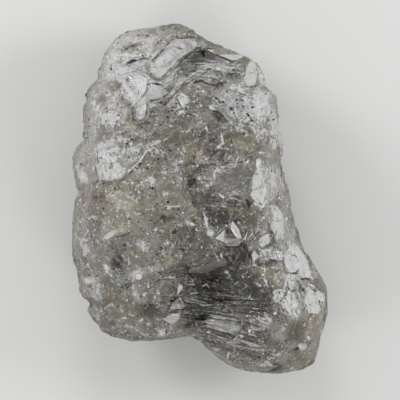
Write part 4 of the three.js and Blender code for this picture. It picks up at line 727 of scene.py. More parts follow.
        ([(0.97, -2.6), (0.99, -2.6)], 0.024, 0.9), ([(0.68, -1.7), (0.76, -1.65)], 0.008, 0.7),
        ([(0.84, -1.8), (0.93, -1.73), (0.9, -1.68)], 0.007, 0.7),
        ([(0.84, -1.5), (0.86, -1.57)], 0.011, 0.8), ([(0.96, -1.98), (1.0, -1.9)], 0.012, 0.7),
        ([(0.96, -1.56), (0.98, -1.53)], 0.01, 0.7), ([(0.52, -1.42), (0.6, -1.56)], 0.009, 0.8),
        ([(1.27, -1.36), (1.28, -1.46)], 0.014, 0.9), ([(1.28, -1.58), (1.32, -1.72)], 0.022, 0.9),
        ([(1.1, -1.66), (1.18, -1.72)], 0.014, 0.6), ([(-0.6, -2.52), (-0.55, -2.6)], 0.018, 0.6),
        ([(-0.8, -2.63), (-0.77, -2.7)], 0.022, 0.8), ([(-0.7, -2.66), (-0.64, -2.68)], 0.014, 0.6),
        ([(1.1, -2.36), (1.18, -2.4)], 0.011, 0.9), ([(1.2, -2.42), (1.32, -2.36)], 0.01, 0.7),
        ([(1.24, -2.46), (1.34, -2.44)], 0.01, 0.7), ([(1.84, -2.36), (1.96, -2.2)], 0.012, 0.9),
        ([(1.92, -2.42), (2.02, -2.24)], 0.01, 0.8), ([(1.14, 0.7), (1.15, 0.58)], 0.018, 0.7),
        ([(1.16, 0.9), (1.24, 0.9)], 0.018, 0.9), ([(1.5, 0.2), (1.54, 0.34)], 0.01, 0.5),
        ([(0.27, 0.5), (0.29, 0.38)], 0.016, 0.8), ([(1.24, -0.1), (1.28, 0.2)], 0.02, 0.6),
        ([(-1.92, 0.7), (-1.96, 0.45)], 0.018, 0.4), ([(-2.46, 0.66), (-2.42, 0.5)], 0.02, 0.8),
        ([(2.3, -2.0), (2.46, -2.02)], 0.014, 0.5), ([(1.3, -2.3), (1.38, -2.42)], 0.012, 0.7),
        ([(1.16, -2.3), (1.2, -2.42)], 0.01, 0.7), ([(-1.13, -1.03), (-1.11, -0.86)], 0.028, 0.7),
        ([(-0.78, -1.59), (-0.66, -1.57), (-0.5, -1.56)], 0.006, 0.5),
        ([(-1.6, -2.19), (-1.5, -2.25)], 0.012, 0.6), ([(-1.42, -2.28), (-1.29, -2.335)], 0.012, 0.7),
        ([(-1.23, -2.44), (-1.14, -2.4)], 0.012, 0.9), ([(-1.56, -2.375), (-1.45, -2.365)], 0.012, 0.8),
        ([(-1.88, -2.17), (-1.75, -2.09)], 0.011, 0.7), ([(-1.31, -1.8), (-1.27, -1.95)], 0.009, 0.6),
        ([(-1.24, -1.82), (-1.2, -2.0)], 0.008, 0.5), ([(-1.87, -1.3), (-1.82, -1.44)], 0.012, 0.8),
        ([(1.42, 0.4), (1.43, 0.22)], 0.01, 0.7), ([(1.5, 0.44), (1.53, 0.28)], 0.009, 0.6),
        ([(2.1, -1.2), (2.22, -1.46), (2.32, -1.62)], 0.008, 0.6),
        ([(1.92, -0.8), (2.06, -1.04), (2.2, -1.32)], 0.007, 0.6),
    ],
    # small bright points, partly painted glints and partly pale flecks: place, radius
    "sparks": [
        (-1.86, 2.84, 0.026), (-1.71, 3.06, 0.018), (-1.4, 2.27, 0.03), (-1.19, 2.86, 0.02),
        (-1.75, 2.26, 0.014), (-1.3, 2.0, 0.016), (-1.31, 1.95, 0.012), (-1.44, -2.0, 0.016),
        (-1.52, -2.37, 0.014), (-1.47, -2.365, 0.014), (-1.49, -2.66, 0.014), (-1.27, -2.64, 0.012),
        (-0.89, -1.96, 0.016), (-0.81, -1.87, 0.014), (-1.85, -1.45, 0.018), (-1.15, -2.41, 0.02),
        (-1.75, -1.54, 0.014), (-0.73, -1.4, 0.014), (-2.27, -1.61, 0.018), (-2.18, -1.65, 0.014),
        (1.486, -2.266, 0.026), (0.985, -2.6, 0.024), (0.82, -2.745, 0.026), (0.16, -2.67, 0.022),
        (1.73, -0.4, 0.024), (1.36, 0.33, 0.014), (1.57, 0.01, 0.022), (1.02, -1.98, 0.012),
        (0.52, -0.54, 0.014), (-0.39, 1.71, 0.022), (-0.58, 1.44, 0.016), (0.06, 2.12, 0.016),
        (-0.05, 2.12, 0.014), (1.21, 2.42, 0.022), (-2.43, 0.6, 0.02), (-2.36, 0.44, 0.024),
        (-1.21, 0.13, 0.02), (-1.62, -0.35, 0.012), (-2.12, -0.36, 0.018), (-2.2, -0.4, 0.014),
        (-0.98, 0.95, 0.018), (-1.02, 0.66, 0.012), (0.45, 0.02, 0.02), (-0.16, -0.5, 0.022),
        (0.22, -0.68, 0.024), (2.15, -2.76, 0.02), (1.24, -1.5, 0.02), (1.3, -1.63, 0.024),
        (1.19, -1.72, 0.016), (-0.36, 0.73, 0.018), (0.93, 0.72, 0.02), (0.12, 1.38, 0.016),
        (0.43, 1.22, 0.014), (-0.7, 0.08, 0.016), (-0.52, 0.3, 0.014), (-1.06, -0.22, 0.012),
        (-0.34, -0.28, 0.016), (-0.86, -0.62, 0.014), (-0.24, 0.12, 0.014), (0.12, 0.78, 0.014),
    ],
    # black grains in or on the stone: place, radius
    "specks": [
        (0.955, -0.1, 0.045), (0.96, -0.15, 0.022), (0.0, 2.935, 0.03), (0.06, 2.905, 0.036),
        (0.085, 2.865, 0.016), (-0.28, 1.79, 0.02), (-0.29, 1.745, 0.016), (-0.65, 1.62, 0.02),
        (1.02, 1.53, 0.026), (0.955, 1.63, 0.022), (1.03, 1.8, 0.02), (0.81, 1.72, 0.014), (1.3, 2.07, 0.016),
        (1.47, 1.57, 0.018), (1.42, 1.71, 0.014), (0.86, 1.94, 0.018), (-0.5, -0.66, 0.03),
        (-0.37, -1.0, 0.028), (-0.33, -1.02, 0.024), (-0.55, -1.12, 0.018), (-1.5, -0.93, 0.026),
        (-1.9, -0.2, 0.014), (-1.18, 0.68, 0.026), (-0.82, 0.78, 0.022), (-0.79, 1.9, 0.024),
        (-0.27, 1.77, 0.018), (-0.55, 1.74, 0.018), (-0.64, 1.62, 0.016), (-0.05, 3.27, 0.02),
        (0.0, 3.22, 0.016), (0.28, 0.6, 0.018), (-0.57, -2.02, 0.022), (-1.09, -2.12, 0.02),
        (-0.95, -2.11, 0.018), (-0.87, -2.12, 0.016), (-0.38, -1.55, 0.018), (-0.67, -2.65, 0.018),
        (1.18, -3.15, 0.024), (0.58, -1.03, 0.03), (-1.78, 2.58, 0.018), (0.8, 1.95, 0.016),
        (0.86, 1.83, 0.014), (1.03, 1.8, 0.018), (0.95, 1.63, 0.018), (1.03, 1.53, 0.016),
        (0.72, 1.95, 0.014), (0.45, 1.9, 0.016), (-0.48, 1.06, 0.014), (-1.35, 1.16, 0.024),
        (-1.43, 1.08, 0.016), (0.05, 0.63, 0.014), (-0.25, -0.58, 0.016), (-0.12, 0.36, 0.022),
        (-1.62, -1.3, 0.03), (-1.66, -1.36, 0.016), (-1.47, -1.69, 0.018), (-1.43, -1.757, 0.018),
        (-1.386, -1.69, 0.018), (-1.35, -1.725, 0.016), (-1.44, -1.8, 0.013), (-1.11, -2.13, 0.016),
        (-0.966, -2.11, 0.016), (-0.866, -2.2, 0.013), (-1.04, -2.17, 0.013), (1.93, -2.99, 0.034),
        (1.18, -0.09, 0.014), (1.21, -0.12, 0.012), (1.62, 0.52, 0.014), (1.6, 0.44, 0.012),
        (-1.84, 2.09, 0.014), (-1.47, 1.79, 0.012), (2.32, -1.62, 0.016), (2.35, -1.68, 0.014),
        (2.3, -1.74, 0.012), (1.62, 0.59, 0.018), (1.64, 0.48, 0.014), (-2.36, -0.96, 0.012),
        (0.93, -0.05, 0.02), (-0.93, 0.2, 0.022), (-1.92, 0.29, 0.016), (-2.05, 0.8, 0.016),
        (0.1, -2.48, 0.03), (2.05, -1.82, 0.03), (2.0, -1.76, 0.02), (0.66, -1.9, 0.022),
        (-1.2, -0.46, 0.014), (-0.63, -0.06, 0.024), (-1.78, 0.6, 0.014), (-1.25, 0.9, 0.014),
        (0.86, -2.57, 0.014),
    ],
}


def settled(piece):
    # the piece's mesh with its modifiers applied
    mesh = bpy.data.meshes.new_from_object(piece.evaluated_get(bpy.context.evaluated_depsgraph_get()))
    piece.modifiers.clear()
    piece.data = mesh
    return mesh


def coordinates(mesh):
    flat = np.empty(len(mesh.vertices) * 3)
    mesh.vertices.foreach_get("co", flat)
    return flat.reshape(-1, 3)


def trianglesOf(mesh):
    mesh.calc_loop_triangles()
    flat = np.empty(len(mesh.loop_triangles) * 3, dtype=np.int32)
    mesh.loop_triangles.foreach_get("vertices", flat)
    return flat.reshape(-1, 3)


def triangleCount(mesh):
    return len(mesh.loops) - 2 * len(mesh.polygons)


def fineStone(node):
    # the solid as an even fine mesh, finer still in some places
    piece = bpy.data.objects.new("stone", node.data.copy())
    bpy.context.scene.collection.objects.link(piece)
    piece.data.transform(Matrix.Scale(1 / mm, 4))
    even = piece.modifiers.new("even", "REMESH")
    even.mode = "VOXEL"
    even.voxel_size = stoneShape["voxel"]
    mesh = settled(piece)
    points = coordinates(mesh)
    chosen = np.zeros(len(points), dtype=bool)
    for x, y, wide, high in stoneShape["finer"]:
        chosen |= np.hypot((points[:, 0] - x) / wide, (points[:, 1] - y) / high) < 1
    chosen &= points[:, 2] > stoneShape["thinBelow"]
    work = bmesh.new()
    work.from_mesh(mesh)
    edges = [edge for edge in work.edges if all(chosen[corner.index] for corner in edge.verts)]
    bmesh.ops.subdivide_edges(work, edges=edges, cuts=1, use_grid_fill=True)
    work.to_mesh(mesh)
    work.free()
    return piece


def thinned(piece, chosen):
    # fewer triangles where the stone is not looked at from above
    under = piece.vertex_groups.new(name="under")
    under.add([int(i) for i in np.flatnonzero(chosen)], 1.0, "REPLACE")
    thin = piece.modifiers.new("thin", "DECIMATE")
    thin.ratio = min(1.0, stoneShape["mostTriangles"] / triangleCount(piece.data))
    thin.vertex_group = "under"
    settled(piece)
    piece.vertex_groups.clear()


def normalsOf(points, triangles):
    a, b, c = (points[triangles[:, i]] for i in range(3))
    faces = np.cross(b - a, c - a)
    total = np.stack([
        sum(np.bincount(triangles[:, k], faces[:, axis], len(points)) for k in range(3)) for axis in range(3)
    ], axis=1)
    return total / np.maximum(np.linalg.norm(total, axis=1), 1e-12)[:, None]


def smoothed(points, mesh, passes, share):
    # each point moved towards the mean of its neighbours, a few times over
    edges = np.empty(len(mesh.edges) * 2, dtype=np.int32)
    mesh.edges.foreach_get("vertices", edges)
    pairs = edges.reshape(-1, 2)
    ends = np.concatenate([pairs, pairs[:, ::-1]])
    count = np.bincount(ends[:, 0], minlength=len(points))
    for _ in range(passes):
        sums = [np.bincount(ends[:, 0], points[ends[:, 1], axis], len(points)) for axis in range(3)]
        points = points + share * (np.stack(sums, axis=1) / count[:, None] - points)
    return points


def streaksOf(x, y):
    # the fine ribs that the growth layers leave, from about -1 to 1
    layers = stoneShape["laminations"]
    slope = layers["slope"] + layers["steeper"] * smoothStep(layers["top"], layers["bottom"], y)
    level = y + slope * (x - layers["pivot"])
    over = x - layers["ridge"]
    bent = y - layers["leftFall"] * np.minimum(over, 0) + layers["rightFall"] * np.maximum(over, 0)

    def streaks(height, size, seed):
        return layeredNoise(np.stack([x / size[0], height / size[1], y * 0], axis=1), 1.0, seed)

    low = streaks(level, layers["size"], layers["seed"])
    bent = streaks(bent, layers["bentSize"], layers["bentSeed"])
    return np.where(y > layers["upperFrom"], bent, low)


def addZones(points, x, y, above, marks):
    for name, patches in stoneShape["zones"].items():
        total = np.zeros(len(points))
        for px, py, wide, high, turn, amount in patches:
            total += amount * ellipseMask(x - px, y - py, wide, high, turn)
        marks[name] = np.clip(total, 0, stoneShape["mostZone"])
    # the flanks and the underside have no drawn marks: broad noise takes their place
    size, firstSeed, seedStep, contrast = stoneShape["spread"]
    for number, name in enumerate(marks):
        spread = np.clip(layeredNoise(points, size, firstSeed + seedStep * number) * contrast, 0, 1)
        share = stoneShape["spreadShares"].get(name, stoneShape["spreadShare"])
        marks[name] = marks[name] * above + share * spread * (1 - above)


def addPlates(x, y, borders, above, marks):
    # where plates overlap, the one in which a point lies deepest gives its step and its tone
    calm, steps, toneOf, frayOf = (np.zeros(len(x)) for _ in range(4))
    reach, edge = np.full(len(x), -1.0), stoneShape["plateEdge"]
    for outline, lift, (tiltX, tiltY), tone, smoothness, raggedness in stoneShape["plates"]:
        distance = outlineDistance(*borders(raggedness), outline)
        inside = (1 - smoothStep(-edge, edge, distance)) * above
        middle = np.mean(outline, axis=0)
        rise = stoneShape["lift"] * lift + tiltX * (x - middle[0]) + tiltY * (y - middle[1])
        calm = np.maximum(calm, inside * smoothness)
        deeper = -distance > reach
        steps = np.where(deeper, inside * rise, steps)
        reach = np.where(deeper, -distance, reach)
        toneOf = np.where(deeper, tone, toneOf)
        frayOf = np.where(deeper, raggedness, frayOf)
    most = stoneShape["plateReach"]
    marks["plate"] = np.clip(reach, -most, most) * above - most * (1 - above)
    marks["plateTone"], marks["fray"] = toneOf, frayOf
    return calm, steps


def addLines(name, depth, x, y, above, marks, offset):
    # lines are kept as distances, counted in half widths, so that the finish can draw them sharply
    far, (rise, least) = stoneShape["far"], stoneShape["lineTaper"]
    nearest, across, power = np.full(len(x), far), np.full(len(x), far), np.zeros(len(x))
    for run, half, strength in stoneShape[name + "s"]:
        distance, along, side = lineDistance(x, y, run)
        groove = np.exp(-(distance / (half * stoneShape["lineSpread"])) ** 2)
        offset += depth * stoneShape["lineDepth"] * strength * groove * above
        taper = np.sqrt(np.clip(rise * np.minimum(along, 1 - along) + least, 0, 1))
        closer = distance < nearest
        nearest = np.where(closer, distance, nearest)
        across = np.where(closer, side * distance / (stoneShape["widen"] * half * taper), across)
        power = np.where(closer, strength, power)
    marks[name + "Across"] = np.clip(across, -far, far)
    marks[name] = power * (1 - smoothStep(*stoneShape["near"], nearest)) * above


def addSpecks(x, y, above, marks):
    # specks are kept as the way from the middle of the nearest one, counted in radii, and bright points among
    # them, partly painted glints, have a mark below 0
    far, widen = stoneShape["far"], stoneShape["widen"]
    nearest, wayX, wayY, side = (np.full(len(x), far) for _ in range(4))
    spots = [spot + (1,) for spot in stoneShape["specks"]] + [spot + (-1,) for spot in stoneShape["sparks"]]
    for px, py, radius, sign in spots:
        distance = np.hypot(x - px, y - py)
        closer = distance < nearest
        nearest = np.where(closer, distance, nearest)
        wayX = np.where(closer, (x - px) / (widen * radius), wayX)
        wayY = np.where(closer, (y - py) / (widen * radius), wayY)
        side = np.where(closer, sign, side)
    marks["speckX"], marks["speckY"] = np.clip(wayX, -far, far), np.clip(wayY, -far, far)
    marks["speck"] = (1 - smoothStep(*stoneShape["near"], nearest)) * above * side


def featuresOf(points, normals):
    # how far each point moves along its normal, and how strongly each finish shows there
    x, y, z = points.T
    steep, high = stoneShape["above"]
    above = smoothStep(*steep, normals[:, 2]) * smoothStep(*high, z)
    size, seeds, warp, fineWarp = stoneShape["wander"]
    wander = [layeredNoise(points, size, seed) for seed in seeds]
    x1, y1 = x + fineWarp * wander[1], y + fineWarp * wander[0]
    marks = {}
    addZones(points, x + warp * wander[0], y + warp * wander[1], above, marks)
    size, seed, height = stoneShape["grain"]
    offset = height * layeredNoise(points, size, seed)
    size, seeds, reach = stoneShape["fray"]
    frayed = [reach * layeredNoise(points, size, seed, 2) for seed in seeds]

    def borders(raggedness):
        return x1 + raggedness * frayed[0], y1 + raggedness * frayed[1]

    calm, steps = addPlates(x, y, borders, above, marks)
    fromFacets, fromRelief = stoneShape["calmed"]
    for name in ("bigFacets", "smallFacets"):
        size, seed, tilt, lift = stoneShape[name]
        way, own = brokenCells(points, size, seed)
        offset += tilt * np.einsum("ij,ij->i", (own[:, :3] - 0.5) * 2, way) + lift * (own[:, 3] - 0.5)
        marks[name] = own[:, 3] * (1 - fromFacets * calm)
    marks["streak"] = streaksOf(x, y) * np.clip(marks["streaky"], 0, 1)
    offset += stoneShape["streakHeight"] * marks["streak"]
    offset *= 1 - fromRelief * calm
    offset += steps
    for name, depth in stoneShape["depths"].items():
        addLines(name, depth, *borders(stoneShape["lineFray"]), above, marks, offset)
    addSpecks(x1, y1, above, marks)
    marks["calm"] = calm
    # the steep rim: the finish paints it paler, as light seen through the stone, and paints shade on its
    # steepest part
    marks["thin"] = 1 - smoothStep(*stoneShape["paintedRimLight"], normals[:, 2])
    return offset, marks


def shapedStone(node):
    piece = fineStone(node)
    mesh = piece.data
    points, triangles = coordinates(mesh), trianglesOf(mesh)
    resting = 1 - smoothStep(*stoneShape["rest"], points[:, 2])
    for px, py, radius, moveX, moveY in stoneShape["pushed"]:
        share = np.exp(-(np.hypot(points[:, 0] - px, points[:, 1] - py) / radius) ** 2) * (1 - resting)
        points[:, 0] += moveX * share
        points[:, 1] += moveY * share
    rounded = smoothed(points, mesh, *stoneShape["smoothing"])
    points = points * resting[:, None] + rounded * (1 - resting[:, None])
    normals = normalsOf(smoothed(points, mesh, *stoneShape["normalSmoothing"]), triangles)
    offset, marks = featuresOf(points, normals)
    points = points + normals * (offset * (1 - resting))[:, None]
    low, high = (np.array(corner) / mm for corner in cadBox)
    points = np.clip(points, low, high)
    mesh.vertices.foreach_set("co", points.ravel())
    for name, values in marks.items():
        mesh.attributes.new(name, "FLOAT", "POINT").data.foreach_set("value", values.astype(np.float32))
    mesh.update()
    thinned(piece, (points[:, 2] < stoneShape["thinBelow"]) | (normals[:, 2] < stoneShape["thinSteeper"]))
    mesh = piece.data
    mesh.transform(Matrix.Scale(mm, 4))
    mesh.materials.clear()
    mesh.shade_smooth()
    mesh.update()
    print("stone shaped:", triangleCount(mesh), "triangles")
    return piece


class Wire:
    # a socket that takes part in Python sums: each sum adds its Math node
    def __init__(self, finish, socket):
        self.finish, self.socket = finish, socket

    def maths(self, operation, *values):
        return self.finish.add("Math", {"operation": operation}, dict(enumerate(values)))

    def __add__(self, other):
        return self.maths("ADD", self, other)

    def __sub__(self, other):
        return self.maths("SUBTRACT", self, other)

    def __rsub__(self, other):
        return self.maths("SUBTRACT", other, self)

    def __mul__(self, other):
        return self.maths("MULTIPLY", self, other)

    def __truediv__(self, other):
        return self.maths("DIVIDE", self, other)

    __radd__, __rmul__ = __add__, __mul__

    def size(self):
        return self.maths("ABSOLUTE", self)

    def least(self, other):
        return self.maths("MINIMUM", self, other)

    def most(self, other):
        return self.maths("MAXIMUM", self, other)

    def held(self):
        # kept from 0 to 1
        return self.finish.add("Clamp", {}, {0: self})

    def step(self, low, high, start=0.0, end=1.0):
        # a smooth change from start to end as the value passes from low to high
        values = {"Value": self, "From Min": low, "From Max": high, "To Min": start, "To Max": end}
        return self.finish.add("MapRange", {"interpolation_type": "SMOOTHSTEP"}, values)

    def drop(self, low, high):
        return self.step(low, high, 1.0, 0.0)


class Finish:
    # one material and its nodes
    def __init__(self, name):
        self.material = bpy.data.materials.new(name)
        self.material.use_nodes = True
        self.tree = self.material.node_tree
        self.tree.nodes.clear()
        self.place = self.add("TexCoord", {}, {}, "Object")

    def add(self, kind, settings, values, output=0):
        node = self.tree.nodes.new("ShaderNode" + kind)
        for name, value in settings.items():
            setattr(node, name, value)
        for name, value in values.items():
            if isinstance(value, Wire):
                self.tree.links.new(value.socket, node.inputs[name])
            else:
                node.inputs[name].default_value = value
        return Wire(self, node.outputs[output]) if len(node.outputs) else None

    def mark(self, name):
        return self.add("Attribute", {"attribute_name": name}, {}, "Fac")

    def mix(self, share, first, second, blend="MIX"):
        return self.add("Mix", {"data_type": "RGBA", "blend_type": blend}, {0: share, 6: first, 7: second}, 2)

    def vectors(self, operation, *values, output=0):
        return self.add("VectorMath", {"operation": operation}, dict(enumerate(values)), output)

    def scaled(self, vector, scale):
        return self.add("VectorMath", {"operation": "SCALE"}, {0: vector, "Scale": scale})

    def joined(self, x, y, z=0.0):
        return self.add("CombineXYZ", {}, {0: x, 1: y, 2: z})

    def channel(self, colour, number=0):
        return self.add("SeparateColor", {}, {0: colour}, number)

    def clouds(self, vector, scale=1.0, detail=2.0, rough=0.5, twist=0.0, output="Fac"):
        values = {"Vector": vector, "Scale": scale, "Detail": detail, "Roughness": rough, "Distortion": twist}
        return self.add("TexNoise", {}, values, output)


def screen(red, green, blue):
    # a colour given as it looks on a screen, from 0 to 255
    return tuple(((c / 255 + 0.055) / 1.055) ** 2.4 for c in (red, green, blue)) + (1.0,)


# the diamond's finish, with sizes in millimetres
diamond = {
    "core": (screen(78, 73, 61), screen(152, 146, 131)),  # the two tones of the plain stone
    "coreEdge": (0.35, 0.85),  # the noise's values where they begin and end to change over
    "tints": {  # tone, its least share, and how much more it gets with the noise
        "warm": (screen(159, 153, 121), 0.45, 0.8),
        "rust": (screen(144, 125, 104), 0.4, 0.8),
        "blue": (screen(165, 169, 182), 0.3, 0.6),
    },
    # the palest and the darkest tone; they also carry the painted light, reflections and shade of the patches
    # and plates
    "pale": screen(241, 241, 242),
    "deep": screen(28, 22, 13),
    "grain": screen(214, 210, 202),
    # white for flecks and slivers, and for the painted glints drawn in it
    "white": screen(250, 250, 250),
    "black": screen(12, 11, 11),
    # the pale grey painted on the rim and the clear patches, as light seen through the stone
    "thin": screen(199, 197, 191),
    "drift": (0.22, 0.28),  # how far the hue wanders from place to place, and the size of that
    # noises: size, detail, roughness, shift of the pattern, twist
    "broad": (0.55, 4, 0.6),
    "middle": (0.16, 5, 0.75, 3, 0.4),
    "fine": (0.045, 3, 0.7, 7),
    "tiny": (0.022, 1, 0.5, 11),
    "cluster": (0.35, 2, 0.5, 33),  # where flecks gather
    "bandWobble": (0.4, 2, 0.5, 83),  # moves the streaks along the laminations
    # how rough the stone is from place to place: noises, and the change of each from low, high to least, most
    "busy": [((0.7, 2, 0.5, 45), (0.35, 0.62, 0.75, 1.15)), ((0.2, 3, 0.6, 49), (0.4, 0.6, 0.35, 1.5))],
    "calmed": 0.7,  # how much of that a smooth plate takes away, and a quiet zone
    "quieted": 0.25,
    # scattered cells: size, shift, bend
    "shards": (0.09, 21, 0.12),
    "bigShards": (0.24, 27, 0.3),
    "flecks": ((0.075, 5, 0.15), (0.2, 0.36), (0.84, 0.88)),  # with their edge and how rare they are
    "dots": ((0.08, 9, 0.15), (0.26, 0.36)),
    # slivers: spacing, shift, half sizes, how rare
    "brightSlivers": (0.085, 73, (0.04, 0.011, 0.028), (0.6, 0.75)),
    "darkSlivers": (0.11, 79, (0.06, 0.012, 0.028), (0.66, 0.8)),
    "sliverEdge": (0.75, 1.05),  # where slivers fade, in half sizes
    "sliverStrength": (0.9, 0.75),  # bright, dark
    "turns": [(20, 0.0, 51), (75, 0.34, 57), (-40, 0.67, 63)],  # turn, start and shift by third of the shards
    "strokes": (0.16, 0.022, 0.05),  # sizes of the long marks and cells that are turned so
    "splinters": (0.15, 0.055, 0.09, 0.15),  # with their bend
    "swirl": 6.0,  # scale of the noise that bends cells
    "bands": (0.6, 0.04, 0.1),  # length, width and wandering of the streaks along the laminations
    "bandEdge": (0.4, 0.6),
    "tiers": (0.6, 0.6, 0.075),  # growth lines round the flanks
    "upright": (0.03, 0.35, 0.35),  # width, length and lean of the streaks on ragged plates
    # what breaks up the tones besides the fine noise
    "ragged": {"middle": 1.1, "splinters": 0.65, "strokes": 0.8, "bands": 0.75, "streak": 0.15},
    "haze": (0.3, 0.55, 0.65),  # how ragged the soft tones are, and how strong the pale and the dark one
    # pale and dark patches: amounts where one sets in and is full, how ragged, how far the other lessens it
    "patches": {"edge": (0.32, 0.72), "ragged": 1.2, "other": 0.35, "strength": 0.75},
    "speckle": (1.3, 1.7, 3.2, 0.15),  # from the fine and the tiny noise, its contrast, its least strength
    "covered": 0.6,  # how much of the zones under it a plate hides
    "frayed": (0.04, 0.03),  # how far the fine noise and the shards move the edge of a ragged plate
    "plateEdge": (-0.004, 0.006),  # how far inside its outline a plate's tone sets in
    "plateLine": ((-0.028, -0.018), (-0.006, 0.0)),  # and where the dark line round it sets in and ends
    "lineEdge": (0.6, 1.2),  # where lines and specks fade, in half widths and radii
    "speckEdge": (0.85, 1.1),
    "wobble": 1.6,  # how far the fine noise moves the edge of a line or a speck
    "swell": 3.0,  # how much the middle one widens or narrows a line
    "strength": (0.95, 2.0),  # of a line, and how much the middle noise changes it
    "transmission": 0.5,
    "ior": 1.8,
    "specular": 0.12,
    "absorption": (screen(205, 200, 180), 200.0),
    "roughness": (0.34, 0.36, 0.5),  # plain stone, smooth plates, and how much noise changes the plain stone
    "bump": (0.35, 0.00002),
    "heights": (0.5, 0.9, 0.5, 0.3, 0.3),  # of fine and middle noise, splinters, flecks, and depth of lines
}


class StoneFinish(Finish):
    # the patterns of the stone, with sizes in millimetres
    def __init__(self, name):
        super().__init__(name)
        self.place = self.scaled(self.place, 1 / mm)

    def moved(self, shift, bend=0.0):
        # the place, shifted so that no two patterns fall together, and bent by a broad noise
        shifted = self.vectors("ADD", self.place, (shift, -shift, shift))
        if not bend:
            return shifted
        swirl = self.clouds(self.place, diamond["swirl"], output="Color")
        return self.vectors("MULTIPLY_ADD", swirl, (bend, bend, bend), shifted)

    def noise(self, size, detail, rough, shift=0.0, twist=0.0):
        return self.clouds(self.moved(shift), 1 / size, detail, rough, twist)

    def scattered(self, place, scale, *outputs):
        return [self.add("TexVoronoi", {}, {"Vector": place, "Scale": scale}, output) for output in outputs]

    def grains(self, size, shift, bend):
        # scattered cells: distance from the middle of each, and a random number of its own
        away, colour = self.scattered(self.moved(shift, bend), 1 / size, "Distance", "Color")
        return away, self.channel(colour)

    def slivers(self, spacing, shift, shape, rare):
        # scattered slivers, each turned its own way
        place = self.moved(shift)
        middles, colour = self.scattered(place, 1 / spacing, "Position", "Color")
        away, turn = self.vectors("SUBTRACT", place, middles), self.scaled(colour, 2 * math.pi)
        away = self.add("VectorRotate", {"rotation_type": "EULER_XYZ"}, {"Vector": away, "Rotation": turn})
        away = self.vectors("LENGTH", self.vectors("DIVIDE", away, shape), output=1)
        return away.drop(*diamond["sliverEdge"]) * self.channel(colour, 1).step(*rare)

    def turned(self, turn, shift, scale, bend=0.0):
        values = {"Vector": self.moved(shift, bend), "Rotation": (0, 0, math.radians(turn)), "Scale": scale}
        return self.add("Mapping", {"vector_type": "TEXTURE"}, values)

    def turnedMarks(self, shards):
        # long marks and long cells, turned one way in each third of the big shards
        strokes = splinters = 0.0
        *size, bend = diamond["splinters"]
        for turn, start, shift in diamond["turns"]:
            here = shards.step(start - 0.02, start) * shards.drop(start + 0.33, start + 0.35)
            strokes = self.clouds(self.turned(turn, shift, diamond["strokes"]), detail=1.0) * here + strokes
            cells = self.scattered(self.turned(turn, shift, size, bend), 1.0, "Color")
            splinters = self.channel(*cells) * here + splinters
        return strokes, splinters

    def layerStreaks(self, x, y):
        # streaks along the laminations, which run as those of the relief do
        layers = stoneShape["laminations"]
        slope = y.step(layers["bottom"], layers["top"], layers["slope"] + layers["steeper"], layers["slope"])
        over = x - layers["ridge"]
        bent = y - over.least(0.0) * layers["leftFall"] + over.most(0.0) * layers["rightFall"]
        upper = y.step(layers["upperFrom"] - 0.1, layers["upperFrom"] + 0.1)
        level = (y + slope * (x - layers["pivot"])) * (1 - upper) + bent * upper
        length, width, reach = diamond["bands"]
        level = level + (self.noise(*diamond["bandWobble"]) - 0.5) * reach
        return self.clouds(self.joined(x / length, level / width), rough=0.6).step(*diamond["bandEdge"])


